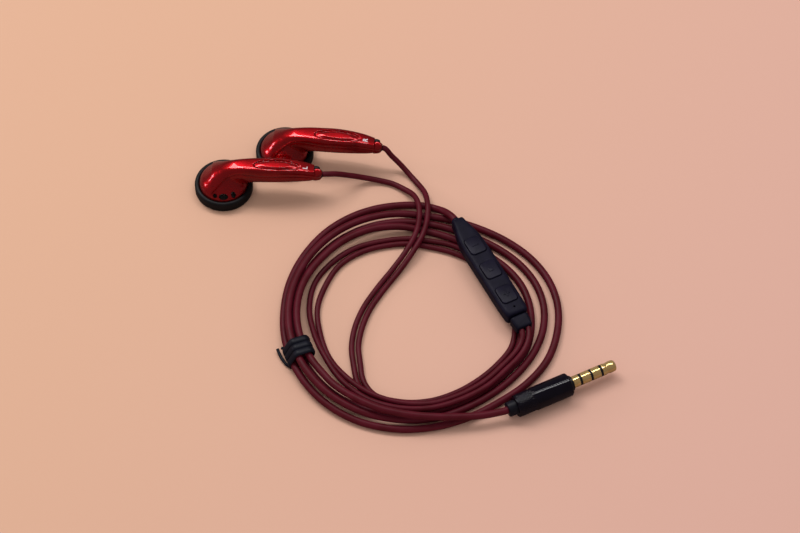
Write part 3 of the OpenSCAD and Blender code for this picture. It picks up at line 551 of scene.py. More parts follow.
# ---------------------------------------------------------------- camera, table and light
AIM = Vector((33.75, -35.1, 0)) * MM
CAMERA_UP, CAMERA_AWAY, SENSOR, LENS = 55, 0.9, 36, 135.7
back_y, back_z = turn(CAMERA_UP)
camera = bpy.data.objects.new("camera", bpy.data.cameras.new("camera"))
camera.location = AIM + CAMERA_AWAY * Vector((0, -back_y, back_z))
camera.rotation_euler = (math.radians(90 - CAMERA_UP), 0, 0)
camera.data.sensor_width, camera.data.lens = SENSOR, LENS
bpy.context.scene.collection.objects.link(camera)
bpy.context.scene.camera = camera

let_go()
bpy.ops.mesh.primitive_plane_add(size=6, location=(0, 0, 0))
floor = new_piece("table")
floor.data.materials.append(table_top())


def lamp(name, place, size, power, colour):
    """A soft box: a rectangular lamp, in metres, that looks at the camera's aim."""
    data = bpy.data.lights.new(name, "AREA")
    data.shape, (data.size, data.size_y) = "RECTANGLE", size
    data.energy, data.color = power, colour
    box = bpy.data.objects.new(name, data)
    box.location = place
    box.rotation_euler = (AIM - Vector(place)).to_track_quat("-Z", "Y").to_euler()
    bpy.context.scene.collection.objects.link(box)


lamp("key", (-0.55, 0.55, 1.05), (0.5, 0.5), 5.6, (1.0, 0.97, 0.95))
lamp("overhead", (0.15, 0.42, 1.25), (1.20, 0.07), 3.4, (1.0, 0.98, 1.0))
lamp("overhead_twin", (0.15, 0.62, 1.20), (1.20, 0.05), 1.6, (1.0, 0.98, 1.0))
lamp("window", (-1.08, 0.16, 0.41), (0.16, 0.22), 1.1, (1.0, 0.80, 0.90))

# The room: even and pale on matt surfaces, dim and brown in reflections.
world = bpy.data.worlds.new("studio")
bpy.context.scene.world = world
world.use_nodes = True
room = world.node_tree
rays = room.nodes.new("ShaderNodeLightPath")
tint = room.nodes.new("ShaderNodeMix")
tint.data_type = "RGBA"
tint.inputs[6].default_value = rgb(0.5, 0.485, 0.48)
tint.inputs[7].default_value = rgb(0.13, 0.095, 0.09)
room.links.new(rays.outputs["Is Glossy Ray"], tint.inputs[0])
room.links.new(tint.outputs[2], room.nodes["Background"].inputs["Color"])
bpy.context.scene.view_settings.view_transform = "Standard"


# ---------------------------------------------------------------- cords
def in_plan(place, yaw, x, y, z):
    """The point x, y of a frame that lies at a place and a heading, on the table's axes."""
    c, s = turn(yaw)
    return (place[0] + x * c - y * s, place[1] + x * s + y * c, z)


def on_remote(x, y, z):
    return in_plan(REMOTE_AT, REMOTE_YAW, x, y, REMOTE_Z + z)


def bud_exit(place, yaw):
    return in_plan(place, yaw, RELIEF_END, 0, EXIT_Z)


# The coil's middle, the steps in a turn and where the two windings begin, in degrees.
COIL, STEPS = (42.6, -50.8), 24
MAIN_START, MAIN_STEPS = 211.5, 3 * STEPS + 8
THIN_START, THIN_STEPS = -45, STEPS + 5
# The winding's mean radius and its waves by lobes, cosine and sine.
LOOP_R, LOOP_WAVES = 39.8, ((1, -2.5, -3.4), (2, 1.2, 0.6), (3, 1.0, 0.0))
# From one lane to the next: the mean gap, its swing and how far it closes up on the left.
LANE, LANE_SWING, LANE_PINCH = 2.87, 1.3, 0.35
# A cord that is closer than LANE_CLEAR to its neighbour climbs on it, by LANE_RISE times the height that
# keeps them LANE_CLEAR apart.
LANE_CLEAR, LANE_RISE = MAIN_D + 0.55, 1.25
# Where the tie holds the bunch, how many degrees to each side rise to it, and how high.
TIE_ANGLE, TIE_REACH, TIE_LIFT = 204, 45, 1.05


def loop_radius(a):
    return LOOP_R + sum(c * turn(n * a)[0] + s * turn(n * a)[1] for n, c, s in LOOP_WAVES)


def lane_gap(a):
    c, _ = turn(a)
    return LANE + LANE_SWING * c - LANE_PINCH * max(0, -c) ** 3


# How far the cord strays outward from its winding, by turns.
MAIN_STRAY = [
    (0.12, 0), (0.17, -0.5), (0.25, 0), (0.58, 0), (0.63, 0.7), (0.67, 1.6), (0.71, 1.2), (0.75, 1.1),
    (0.8, 0.85), (0.84, 0.4), (0.88, 0), (2.6, 0), (2.63, 0.15), (2.67, 0.7), (2.71, 0.5), (2.75, 0),
    (3, 0.1), (3.09, 0.4), (3.13, 0.9), (3.17, 1.15), (3.21, 1.5), (3.25, 1.5), (3.3, 1.2), (3.34, 0.8)]


def stray(laps):
    """Reads MAIN_STRAY on straight lines."""
    k = max([i for i, row in enumerate(MAIN_STRAY) if row[0] <= laps], default=0)
    k = min(k, len(MAIN_STRAY) - 2)
    (t0, r0), (t1, r1) = MAIN_STRAY[k:k + 2]
    return r0 + (r1 - r0) * min(1, max(0, (laps - t0) / (t1 - t0)))


def main_point(k):
    """The main cord winds outward, lies on its neighbours where they close up, and rises to the tie."""
    laps = k / STEPS
    a = MAIN_START - 360 * laps
    r = loop_radius(a) + lane_gap(a) * (laps - 3) + stray(laps)
    rise = LANE_RISE * math.sqrt(max(0, LANE_CLEAR ** 2 - lane_gap(a) ** 2))
    share = (1 + turn(180 * (laps - (MAIN_START - TIE_ANGLE) / 360))[0]) / 2
    off = abs((a - TIE_ANGLE + 180) % 360 - 180)
    lift = 0 if off > TIE_REACH else turn(90 * off / TIE_REACH)[0] ** 2
    return in_plan(COIL, a, r, 0, MAIN_D / 2 + TIE_LIFT * lift + rise * share)


# Radius of the left and the right cord and their heights, every fifteen degrees.
THIN_LAY = [
    (31.8, 29.95, 3.2, 2.8), (33.0, 31.1, 3.2, 2.8), (34.4, 32.6, 3.2, 2.8), (36.2, 34.4, 3.2, 2.8),
    (37.3, 35.2, 3.1, 2.75), (37.6, 35.5, 2.8, 2.7), (36.9, 35.1, 2.8, 2.5), (35.7, 34.3, 2.6, 0.95),
    (35.3, 33.5, 1.7, 0.85), (35.6, 33.2, 0.9, 0.85), (35.3, 32, 0.85, 0.85), (33.4, 31, 0.85, 0.85),
    (31, 28.8, 0.85, 0.85), (28.1, 26.2, 0.85, 0.85), (26.1, 24.2, 0.85, 0.85), (24.4, 22.2, 0.85, 0.85),
    (23.8, 21.4, 0.85, 0.85), (23.3, 21.1, 0.85, 0.85), (23.4, 21.4, 0.85, 0.85), (24, 22.1, 0.85, 0.85),
    (25, 23.2, 0.85, 0.85), (26.2, 24.4, 0.85, 0.85), (27.6, 25.8, 0.85, 0.85), (29.2, 27.4, 0.85, 0.85),
    (29.6, 27.8, 0.85, 0.85), (30.5, 28.7, 0.85, 0.85), (32.1, 30.3, 0.85, 0.85),
    (34.1, 32.3, 0.85, 0.85), (35.7, 33.8, 0.85, 0.85), (36, 34.1, 0.85, 0.85)]


def thin_point(k, inner):
    """The pair starts on top of the main cord, steps down on the left and passes under its own start."""
    return in_plan(COIL, THIN_START - 360 * k / STEPS, THIN_LAY[k][inner], 0, THIN_LAY[k][2 + inner])


main_coil = [main_point(k) for k in range(MAIN_STEPS + 1)]
left_coil = [thin_point(k, 0) for k in range(THIN_STEPS + 1)]
right_coil = [thin_point(k, 1) for k in range(THIN_STEPS + 1)]
main_lead = [
    (*PLUG_AT, BARREL_R), (61.4, -88.9, 3.5), (57.2, -89.8, 3.6), (52.2, -90.3, 3.8), (46.4, -90.7, 4.3),
    (40, -90.8, 4.9), (33.9, -90.1, 5.3), (28.1, -88.6, 5.4), (23, -86.2, 5.4), (18.3, -83.2, 5.3),
    (14.4, -79.9, 5.1), (11.8, -76.7, 5)]
main_tail = [
    (44.7, -15, 1.6), (47.1, -16.9, 2.8), (48.9, -19.1, 3.9), on_remote(-NECK_OUT, 0, CORD_Z)]
left_tail = [
    on_remote(REMOTE_LENGTH + COLLAR_LENGTH, 1.05, CORD_Z), (71.5, -61.4, 4.2), (71.25, -63.6, 3.9),
    (70.25, -66.5, 3.5), (68.1, -69.9, 3.3)]
right_tail = [
    on_remote(REMOTE_LENGTH + COLLAR_LENGTH, -1.05, CORD_Z), (69.62, -62.35, 4.05), (69.32, -64, 3.6),
    (68.3, -66.3, 3.2), (66.3, -69.1, 2.9)]
left_lead = [
    (22.6, -79.4, 0.9), (21.2, -76.3, 0.9), (20.6, -73.3, 0.9), (20.1, -69.9, 0.9), (19.6, -65.4, 0.9),
    (20.2, -59, 0.9), (22.6, -51.4, 0.9), (26.7, -44, 0.9), (31.6, -37, 1.4), (35.6, -31.2, 2.6),
    (38.4, -25.6, 3.6), (39.5, -20, 3.6), (39.2, -13.9, 3.3), (37.6, -9.9, 2.1), (35, -7.3, 1.2),
    (31.4, -5, 0.9), (27, -3.9, 1.2), (22.5, -3.9, 2.6), (18.2, -4.8, 4.9), (14.2, -6, 7.2),
    bud_exit(LEFT_AT, LEFT_YAW)]
right_lead = [
    (23.7, -77.7, 0.9), (22.7, -74.8, 0.9), (22.3, -71.5, 0.9), (21.9, -68.2, 0.9), (21.6, -64.6, 0.9),
    (22.4, -58.6, 0.9), (24.7, -51.6, 0.9), (28.7, -44.5, 0.9), (33.6, -37.5, 1.4), (37.6, -31.4, 2.5),
    (40.5, -25.8, 3.3), (41.9, -20, 3.4), (42, -13.6, 3.3), (41.1, -9, 2.1), (39.4, -5.6, 1.2),
    (37, -2.2, 1.1), (34.2, 0.6, 2.6), (31.2, 2.2, 5.4), bud_exit(RIGHT_AT, RIGHT_YAW)]


LINE_STEP = 1.1


def eased(points, first, last):
    """A smooth line through points, with set headings at its two ends, in steps of about a millimetre."""
    p = [Vector(q) for q in points]
    gaps = [(b - a).length for a, b in zip(p, p[1:])]
    slopes = [(b - a) / g for a, b, g in zip(p, p[1:], gaps)]
    heading = [Vector(first).normalized()]
    for k in range(1, len(p) - 1):
        heading.append((slopes[k - 1] * gaps[k] + slopes[k] * gaps[k - 1]) / (gaps[k - 1] + gaps[k]))
    heading.append(Vector(last).normalized())
    line = []
    for k, gap in enumerate(gaps):
        n = max(1, round(gap / LINE_STEP))
        line += [cubic(i / n, p[k], gap * heading[k], p[k + 1], gap * heading[k + 1]) for i in range(n)]
    return [*line, p[-1]]


def length_of(line):
    return sum((b - a).length for a, b in zip(line, line[1:]))


def cord_piece(name, line, diameter, nodes):
    """A round cord along a line of points in millimetres."""
    piece = wire(name, line, diameter, 3)
    piece.data.splines[0].use_smooth = True
    return skin(piece, "cord", stands_for=nodes)


def heading_of(yaw, sign=1):
    return in_plan((0, 0), yaw, sign, 0, 0)


main_line = eased([*reversed(main_tail), *reversed(main_coil), *reversed(main_lead)],
                  heading_of(REMOTE_YAW, -1), heading_of(PLUG_YAW))
left_line = eased([*reversed(left_lead), *reversed(left_coil), *reversed(left_tail)],
                  heading_of(LEFT_YAW), heading_of(REMOTE_YAW, -1))
right_line = eased([*reversed(right_lead), *reversed(right_coil), *reversed(right_tail)],
                   heading_of(RIGHT_YAW), heading_of(REMOTE_YAW, -1))
main_cord = cord_piece("main_cord", main_line, MAIN_D, ("main_cord_lead", "main_cord_coil", "main_cord_tail"))
left_cord = cord_piece("left_cord", left_line, THIN_D, ("left_cord_lead", "left_cord_coil", "left_cord_tail"))
right_cord = cord_piece("right_cord", right_line, THIN_D,
                        ("right_cord_lead", "right_cord_coil", "right_cord_tail"))


# ---------------------------------------------------------------- earbuds
DOME = [
    (7.46, 2.75), (7.43, 3.3), (7.33, 3.8), (7.12, 4.35), (6.75, 4.9), (6.3, 5.4), (5.7, 5.95),
    (4.9, 6.75), (4.0, 7.6), (3.0, 8.5), (2.0, 9.3), (1.0, 9.85), (0, 10.0)]
# The room inside the dome: the seat of the driver, then the wall's inner face.
DOME_ROOM = [
    (0, 1.6), (7.22, 1.6), (7.22, 3.24), (6.6, 3.32), (6.5, 3.85), (6.25, 4.3), (5.88, 4.75), (5.4, 5.2),
    (4.8, 5.75), (4.0, 6.55), (3.1, 7.4), (2.2, 8.2), (1.2, 8.8), (0, 9.0)]
# Cover: place along the stem, half width, height at the shoulders and on the spine, and how flat it is
# across.
COVER = [
    (-3.35, 6.0, 5.55, 9.05, 2.0), (-2.7, 5.6, 6.25, 9.55, 2.0), (-1.05, 4.52, 7.95, 10.6, 2.0),
    (0.44, 3.56, 9.32, 11.35, 2.3), (3.0, 2.74, 10.95, 12.27, 3.0), (5.66, 2.66, 11.5, 12.7, 4.0),
    (8.5, 2.85, 11.5, 12.85, 5.0), (11.6, 3.1, 11.2, 12.9, 5.0), (15.2, 3.15, 11.4, 12.95, 5.0),
    (19, 2.95, 11.4, 12.85, 5.0), (22, 2.7, 11.2, 12.5, 5.0), (25, 2.42, 10.7, 11.9, 4.5),
    (27.6, 2.1, 9.9, 11.1, 4.0)]
HOUSING = [
    (0.6, 2.4, 4.2, 8.6), (3.0, 2.55, 4.0, 10.4), (5, 2.5, 4.3, 11.0), (7.0, 2.6, 5.2, 11.1),
    (8.8, 2.75, 6.1, 11.1), (11.8, 2.98, 6.5, 10.9), (15.2, 3.03, 6.6, 11.0), (19, 2.85, 6.6, 11.0),
    (22, 2.6, 6.65, 10.8), (25, 2.32, 6.8, 10.3), (27.5, 2.0, 7.1, 9.5)]
# The oval on the stem's back: its middle, its half sizes, its power and the depth of its seat.
OVAL_X, OVAL_Y, OVAL_LONG, OVAL_WIDE, OVAL_POWER, OVAL_SEAT = 16.4, -0.3, 6.9, 1.85, 2.4, 0.42
# The inlay fills this much of the oval, stands this far above the back and falls off this far to its rim.
INLAY_LONG, INLAY_WIDE, INLAY_UP, INLAY_FALL = 0.92, 0.76, 0.12, 0.26
# The share of a round section in a back that is flat across.
ROUND_SHARE = 0.12
COVER_WALL, INLAY_WALL = 0.75, 0.3
# On each side: angle round the dome, radius and stretch of a vent, then where its cutter stands.
VENTS = ((109, 0.7, 1.0), (86.5, 1.0, 1.4), (60, 1.05, 0.72))
VENT_OUT, VENT_Z, VENT_LEAN, VENT_DEPTH = 6.8, 4.9, 45, 3
LETTER_X, LETTER_Y, LETTER_SIZE, LETTER_DEPTH, LETTER_BOLD, LETTER_LIFT = 25.0, -0.4, 2.0, 0.04, 0.04, 0.03


def cover_height(x, y):
    half, shoulder, crown, flat = read_off(COVER, x)
    across = min(1.0, abs(y) / half)
    fall = across ** 2
    if flat > 2:
        fall = ROUND_SHARE * fall + (1 - ROUND_SHARE) * across ** (2 * flat - 2)
    return crown - (crown - shoulder) * fall


def rounded(u, v):
    """The distance from a middle to u, v when an oval is the unit circle."""
    return (abs(u) ** OVAL_POWER + abs(v) ** OVAL_POWER) ** (1 / OVAL_POWER)


def oval_distance(x, y):
    """0 at the oval's middle and 1 on its rim."""
    return rounded((x - OVAL_X) / OVAL_LONG, (y - OVAL_Y) / OVAL_WIDE)


def ease(value, low, high):
    s = min(1, max(0, (value - low) / (high - low)))
    return s * s * (3 - 2 * s)


def cover_point(s, t):
    x = COVER[0][0] + (s + 1) / 2 * (COVER[-1][0] - COVER[0][0])
    y = t * read_off(COVER, x)[0]
    inside = 1 - ease(oval_distance(x, y), 0.95, 1.04)
    return x, y, cover_height(x, y) - OVAL_SEAT * inside


def inlay_point(s, t):
    u, v = s * math.sqrt(1 - t * t / 2), t * math.sqrt(1 - s * s / 2)
    reach = math.hypot(u, v)
    if reach > 1e-6:
        grow = 1 / rounded(u / reach, v / reach)
        u, v = u * grow, v * grow
    x, y = OVAL_X + INLAY_LONG * OVAL_LONG * u, OVAL_Y + INLAY_WIDE * OVAL_WIDE * v
    return x, y, cover_height(x, y) + INLAY_UP - INLAY_FALL * ease(reach, 0.6, 1.0)


def shell():
    """Dome, neck and the stem's sides as one skin, with the vents through the dome."""
    dome = turned("dome", [(0, 1.8), (7.75, 1.8), (7.75, 2.6), *DOME], 128)
    stem = drawn("stem_sides", HOUSING, 0.34, 5)
    piece = joined("shell", dome, stem)
    modify(piece, "REMESH", mode="VOXEL", voxel_size=0.15 * MM)
    modify(piece, "SMOOTH", factor=0.5, iterations=14)
    cut(piece, turned("room", DOME_ROOM))
    for side in (-1, 1):
        for angle, radius, stretch in VENTS:
            let_go()
            bpy.ops.mesh.primitive_cylinder_add(vertices=32, radius=radius * MM, depth=VENT_DEPTH * MM)
            hole = new_piece("vent_cutter")
            hole.scale = (1, stretch, 1)
            # Painted shade: the cutter gives the walls of its vent hole the near-black finish.
            hole.data.materials.append(VENT_SHADE)
            hole.rotation_euler = (0, math.radians(VENT_LEAN), math.radians(side * angle))
            hole.location = Vector(in_plan((0, 0), side * angle, VENT_OUT, 0, VENT_Z)) * MM
            bpy.context.view_layer.update()
            piece.data.materials.clear()
            cut(piece, hole)
    return piece


def letter(mark):
    """A flat letter that is read from the stem's end."""
    let_go()
    bpy.ops.object.text_add()
    text = bpy.context.object
    text.data.body = mark
    text.data.align_x = text.data.align_y = "CENTER"
    text.data.size, text.data.extrude = LETTER_SIZE * MM, LETTER_DEPTH * MM
    text.data.offset = LETTER_BOLD * MM
    bpy.ops.object.convert(target="MESH")
    return put(new_piece("mark_" + mark.lower()), about("Z", 90))


def laid(piece, x, y):
    """Lays a flat mark on the cover at x, y."""
    for v in piece.data.vertices:
        px, py, up = v.co.x / MM + x, v.co.y / MM + y, v.co.z / MM
        v.co = Vector((px, py, cover_height(px, py) + LETTER_LIFT + up)) * MM
    return piece


ring_piece = turned("ring", [
    (7.05, 0.15), (7.2, 0.03), (7.5, 0), (8.1, 0), (8.45, 0.08), (8.7, 0.3), (8.8, 0.65), (8.8, 2.75),
    (8.75, 3.05), (8.6, 3.3), (8.32, 3.47), (8.0, 3.52), (7.72, 3.46), (7.57, 3.3), (7.53, 3.1),
    (7.6, 2.9), (7.9, 2.7), (7.9, 0.5), (7.1, 0.5), (7.02, 0.35), (7.05, 0.15)], 128)
shell_piece = shell()
cover_piece = thicken(sheet_over("cover", 270, 60, cover_point), COVER_WALL, 0.07)
inlay_piece = thicken(sheet_over("inlay", 96, 40, inlay_point), INLAY_WALL, 0.05, 60)
cap_piece = drawn("cap", [
    (27.2, 1.85, 6.85, 10.3), (27.9, 1.8, 6.9, 9.95), (28.8, 1.7, 7.0, 9.6), (29.4, 1.5, 7.15, 9.35),
    (29.75, 1.2, 7.4, 9.1), (29.92, 0.8, 7.8, 8.8)], 0.24, 4)
boss = turned("boss", [
    (0, -1.6), (1.42, -1.6), (1.42, 0.6), (1.38, 0.8), (1.25, 0.96), (1.0, 1.06), (0.6, 1.12), (0, 1.14)], 48)
put(boss, at(28.6, -0.4, 9.25) @ about("X", 24))
cut(cap_piece, boss, "UNION")
relief_piece = turned("relief", [
    (0, 27.0), (1.2, 27.0), (1.2, 29.8), (1.1, 29.97), (0.86, 30.0), (0, 30.0)], 48)
put(relief_piece, at(0, 0, EXIT_Z) @ about("Y", 90))
let_go()
bpy.ops.mesh.primitive_uv_sphere_add(segments=32, ring_count=16, radius=MM, scale=(1.2, 0.8, 0.6),
                                     location=Vector((28.1, 1.15, 9.75)) * MM)
bpy.ops.object.transform_apply(location=True, rotation=True, scale=True)
relief_piece = joined("relief", relief_piece, new_piece("relief_shoulder"))

BUD_PARTS = (
    (ring_piece, "rubber_ring", ["rubber_ring"]), (shell_piece, "red_shell", ["rear_shell", "stem_base"]),
    (cover_piece, "red_shell", ["stem_cover"]), (inlay_piece, "red_inlay", ["stem_inlay"]),
    (cap_piece, "red_shell", ["stem_cap"]), (relief_piece, "black_bush", ["strain_relief"]))
for side, place, mark in (("left", LEFT, "L"), ("right", RIGHT, "R")):
    for part, slot, nodes in BUD_PARTS:
        twin = put(copy_of(part, f"{side}_{part.name}_piece"), place)
        skin(twin, slot, stands_for=[f"{side}_{n}" for n in nodes])
    sign = put(laid(letter(mark), LETTER_X, LETTER_Y), place)
    sign.name = f"{side}_mark"
    skin(sign, "red_shell")
    sign.data.materials.clear()
    sign.data.materials.append(MARK_WHITE)
for part, _, _ in BUD_PARTS:
    bpy.data.objects.remove(part)


# ---------------------------------------------------------------- remote
CASE = [
    (0, 1.8, 0.3, 4.1), (0.3, 1.9, 0.12, 4.55), (1.5, 2.0, 0.04, 4.75), (4, 2.62, 0, 4.85),
    (8, 3.55, -0.02, 4.88), (12, 3.75, -0.02, 4.88), (22, 3.78, -0.02, 4.88), (35.0, 3.76, -0.02, 4.88),
    (37.0, 3.6, 0, 4.86), (38.0, 3.35, 0.12, 4.7), (38.4, 3.1, 0.35, 4.4)]
CASE_WALL, ROOF_EXTRA, CASE_SPLIT, SPLIT_GAP = 0.75, 0.08, 2.16, 0.04
ROOM_FROM, ROOM_LONG = 0.8, 36.8
POCKET_FLOOR, CAP_TOP, MARK_Z = 3.5, 5.22, 5.1
FLANGE_Z, PLUNGER_Z, NECK_WAY_R = 3.3, 2.5, 1.42
BUTTONS = (("minus", 11.7), ("middle", 21.5), ("plus", 31.3))
# The bars of each mark: length, width, height and corner. The second is lower, so that no faces coincide.
MARKS = {"minus": [(0.45, 2.1, 0.3, 0.1)], "middle": [(1.5, 1.5, 0.3, 0.45)],
         "plus": [(0.45, 2.1, 0.3, 0.1), (2.1, 0.45, 0.29, 0.1)]}


def box_between(name, low, high):
    """A plain box from its lowest to its highest corner."""
    let_go()
    bpy.ops.mesh.primitive_cube_add(size=1)
    piece = new_piece(name)
    for v in piece.data.vertices:
        v.co = Vector([(a + b) / 2 + c * (b - a) for a, b, c in zip(low, high, v.co)]) * MM
    return piece


def case_half(name, low, high):
    """The part of the hollow case between two heights."""
    half = drawn(name, CASE, 0.2, 4)
    inside = [(ROOM_FROM + x * ROOM_LONG / REMOTE_LENGTH, w - CASE_WALL, a + CASE_WALL,
               b - CASE_WALL - ROOF_EXTRA) for x, w, a, b in CASE]
    cut(half, drawn("hollow", inside, 0.12, 3, 1))
    return cut(half, box_between("slab", (-2, -6, low), (41, 6, high)), "INTERSECT")


top_cover = case_half("remote_top_piece", CASE_SPLIT + SPLIT_GAP, 6)
bottom_cover = case_half("remote_bottom_piece", -1, CASE_SPLIT - SPLIT_GAP)
for half in (top_cover, bottom_cover):
    cut(half, rod("neck_way", NECK_WAY_R, (-1, 0, CORD_Z), (1.6, 0, CORD_Z)))
for _, x in BUTTONS:
    cut(top_cover, moved(block("pocket", 6.5, 5.3, 3, 1.25), x, 0, POCKET_FLOOR))
cut(top_cover, rod("mic_hole", 0.35, (36.2, 0, 3.5), (36.2, 0, 6), 24))
skin(put(top_cover, REMOTE), "remote_case", stands_for=["remote_top_cover"])
skin(put(bottom_cover, REMOTE), "remote_case", stands_for=["remote_bottom_cover"])


def button(name, x):
    """A cap with its raised mark, the flange that keeps it in and the plunger over its switch."""
    cap = block(name + "_cap", 6.2, 5.0, CAP_TOP - POCKET_FLOOR, 1.1, 0.25)
    parts = [moved(cap, z=POCKET_FLOOR), moved(block("flange", 6.7, 4.4, 0.3, 1.0), z=FLANGE_Z),
             rod("plunger", 0.7, (0, 0, PLUNGER_Z), (0, 0, FLANGE_Z + 0.1), 24)]
    parts += [moved(block("mark", *bar, 0.05), z=MARK_Z) for bar in MARKS[name]]
    return moved(joined(name + "_button_piece", *parts), x)


for name, x in BUTTONS:
    skin(put(button(name, x), REMOTE), "remote_button", name + "_key", [name + "_button"])

collar = drawn("remote_collar_piece", [
    (38.45, 2.45, 0.7, 3.5), (38.8, 2.5, 0.65, 3.55), (38.95, 2.8, 0.28, 3.95), (39.2, 2.9, 0.2, 4.0),
    (41, 2.75, 0.32, 3.75), (42.4, 2.6, 0.45, 3.5), (42.9, 2.4, 0.6, 3.3)], 0.2, 4)
skin(put(collar, REMOTE), "remote_rubber", stands_for=["remote_collar"])
neck = turned("remote_neck_piece", [
    (0, 0), (1.12, 0), (1.2, 0.1), (1.24, 0.35), (1.35, 1.15), (1.35, 3.5), (0, 3.6)], 48)
put(neck, at(-NECK_OUT, 0, CORD_Z) @ about("Y", 90))
skin(put(neck, REMOTE), "remote_rubber", stands_for=["remote_neck"])


# ---------------------------------------------------------------- plug, along its own Z
PIN_R, PIN_BORE, CONTACTS = 1.75, 0.92, 21.0
CUTS, CUT_WIDTH = (23.1, 26.6, 29.89), 0.7
NOSE_Z, PIN_EDGE = 20.0, 0.07
# The knurled band: from, to, radius, depth, the length over which it fades out, and its rows of vertices.
KNURL_FROM, KNURL_TO, KNURL_R, KNURL_DEPTH, KNURL_FADE, KNURL_ROWS = 2.9, 8.1, 3.32, 0.13, 0.3, 36
# Its grooves: how many go round, the length in which one gains a place, and how narrow they are.
KNURL_GROOVES, KNURL_LEAN, KNURL_NARROW = 24, 1.05, 2.2


def sleeve_of_gold(name, low, high):
    inner, outer = PIN_R - PIN_EDGE, PIN_R
    return turned(name, [(inner, low), (outer, low + PIN_EDGE), (outer, high - PIN_EDGE), (inner, high),
                         (PIN_BORE, high), (PIN_BORE, low), (inner, low)])


def knurled(piece):
    """Presses a diamond pattern into the barrel's rear end."""
    for v in piece.data.vertices:
        x, y, z = v.co / MM
        r = math.hypot(x, y)
        if r < KNURL_R - 0.12 or not KNURL_FROM - 0.01 < z < KNURL_TO + 0.01:
            continue
        lap = math.atan2(y, x) / math.tau * KNURL_GROOVES
        ridge = min(abs(2 * ((lap + lean * z / KNURL_LEAN) % 1) - 1) for lean in (-1, 1))
        fade = min(1, (z - KNURL_FROM) / KNURL_FADE, (KNURL_TO - z) / KNURL_FADE)
        grow = (r - KNURL_DEPTH * (1 - min(1, KNURL_NARROW * ridge)) * max(0, fade)) / r
        v.co.x *= grow
        v.co.y *= grow
    return piece


rows = [KNURL_FROM + (KNURL_TO - KNURL_FROM) * k / KNURL_ROWS for k in range(KNURL_ROWS + 1)]
barrel = knurled(turned("plug_barrel_piece", [
    (2.3, 2.5), (2.95, 2.5), (3.15, 2.58), (3.3, 2.75), *[(KNURL_R, z) for z in rows], (KNURL_R, 8.25),
    (3.42, 8.33), (3.5, 8.45), (3.5, 19.45), (3.45, 19.7), (3.3, 19.88), (3.05, 19.98), (2.8, NOSE_Z),
    (1.55, NOSE_Z), (1.55, 19.25), (2.72, 19.25), (2.72, 3.35), (2.3, 3.35), (2.3, 2.5)], 144))


def insulator(low, high):
    return (0.9, low), (1.72, low), (1.72, high), (0.9, high)


core = turned("plug_core_piece", [
    (0, 10.4), (2.55, 10.4), (2.55, 19.1), (1.4, 19.1), (1.4, 20.1), (2.15, 20.1), (2.3, 20.2),
    (2.3, 20.72), (2.15, 20.9), (1.4, 20.92), (0.9, 20.95),
    *[row for z in CUTS for row in insulator(z + 0.02, z + CUT_WIDTH - 0.02)], (0.9, 31.2), (0, 31.25)])
tip = turned("plug_tip_piece", [
    (0, 31.35), (PIN_BORE, 31.3), (PIN_BORE, 30.59), (1.68, 30.59), (PIN_R, 30.66), (PIN_R, 31.3),
    (1.72, 31.5), (1.62, 31.9), (1.59, 32.15), (1.62, 32.4), (1.71, 32.8), (1.74, 33.2), (1.74, 33.9),
    (1.69, 34.4), (1.52, 34.75), (1.2, 34.94), (0.7, 35.0), (0, 35.02)])
relief = turned("plug_relief_piece", [
    (0, 0), (1.85, 0), (2.1, 0.1), (2.2, 0.35), (2.2, 3.42), (2.48, 3.45), (2.48, 4.75), (1.1, 4.8),
    (1.1, 10.3), (0, 10.35)], 64)
contacts = [(sleeve_of_gold(node + "_piece", low, high), "gold", "earphones", node) for node, low, high in (
    ("plug_sleeve", CONTACTS, CUTS[0]), ("plug_ring_2", CUTS[0] + CUT_WIDTH, CUTS[1]),
    ("plug_ring_1", CUTS[1] + CUT_WIDTH, CUTS[2]))]
for piece, slot, body, node in (
        (barrel, "barrel_black", "barrel", "plug_barrel"), (core, "plug_black", "earphones", "plug_core"),
        (tip, "gold", "earphones", "plug_tip"), (relief, "plug_bush", "earphones", "plug_strain_relief"),
        *contacts):
    skin(put(piece, PLUG), slot, body, [node], angle=32)


# ---------------------------------------------------------------- twist tie
TIE_PITCH, TIE_THICK, TIE_WIDE, TIE_GAP = 2.1, 0.8, 2.15, 0.12


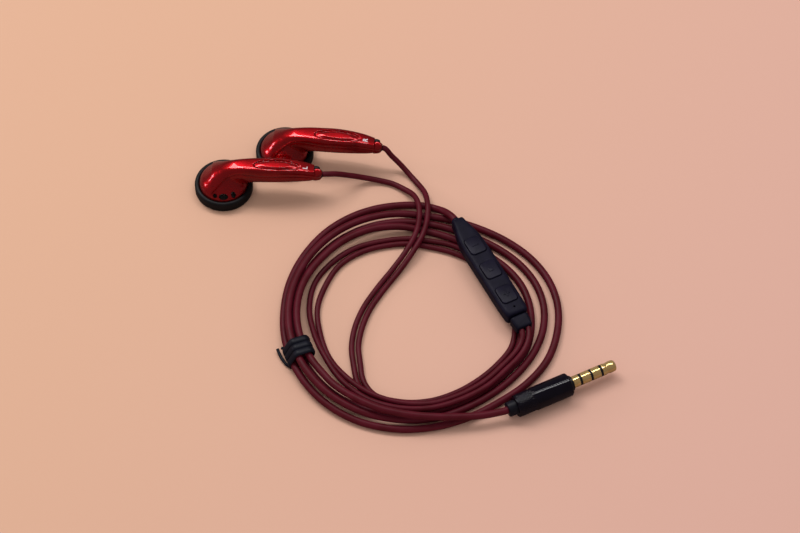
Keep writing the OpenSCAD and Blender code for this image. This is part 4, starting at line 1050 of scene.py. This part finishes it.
def strip(name, points, thick, ring=False):
    """A round wire along points in millimetres, as a mesh."""
    choose(wire(name, points, thick, 4, ring))
    bpy.ops.object.convert(target="MESH")
    piece = new_piece(name)
    edit(piece)
    tidy_up(weld=0.001)
    return piece


strands = [(Vector(main_coil[STEPS * k]) + Vector(main_coil[STEPS * k + 1])) / 2 for k in range(4)]
tie_middle = (strands[0] + strands[3]) / 2
tie_run = sum((Vector(main_coil[STEPS * k + 1]) - Vector(main_coil[STEPS * k]) for k in (1, 2)), Vector())
tie_run.z = 0
tie_run.normalize()
tie_out = tie_run.cross(Vector((0, 0, -1)))
tie_frame = at(*tie_middle) @ Matrix((tie_out, (0, 0, 1), tie_run)).transposed().to_4x4()
flat = [((s - tie_middle).dot(tie_out), (s - tie_middle).z) for s in strands]
tie_r = MAIN_D / 2 + TIE_GAP + TIE_THICK / 2
loop = []
for angle in range(0, 360, 4):
    c, s = turn(angle)
    u, w = max(flat, key=lambda q: q[0] * c + q[1] * s)
    loop.append((u + tie_r * c, w + tie_r * s, 0))
ribs = []
for k in (-1, 0, 1):
    rib = strip("tie_rib", loop, TIE_THICK, ring=True)
    for v in rib.data.vertices:
        v.co.z *= TIE_WIDE / TIE_THICK
    ribs.append(put(moved(rib, z=k * TIE_PITCH), tie_frame))
tail = strip("tie_tail", [
    (2.9, -71.7, 0.75), (1.9, -71.4, 0.7), (0.6, -70.45, 0.7), (-0.5, -68.9, 0.75), (-1.4, -67.2, 0.9),
    (-2.05, -65.4, 1.15)], 0.95)
stub = strip("tie_stub", [(1.4, -66.5, 2.5), (0.2, -66.0, 2.2), (-0.9, -65.6, 2.0)], 0.9)
skin(joined("cable_tie_piece", *ribs, tail, stub), "tie", stands_for=["cable_tie"])


# ---------------------------------------------------------------- nodes that keep their own shape
slot_of = {row["node"]: row["material_slot"] for row in frame["record"]["subparts"]}
for node, piece in frame["nodes"].items():
    piece.data.materials.clear()
    piece.data.materials.append(SKINS[slot_of[node]])

main_line[0] * MM
length_of(main_line) * MM
left_line[0] * MM
length_of(left_line) * MM
right_line[0] * MM
length_of(right_line) * MM
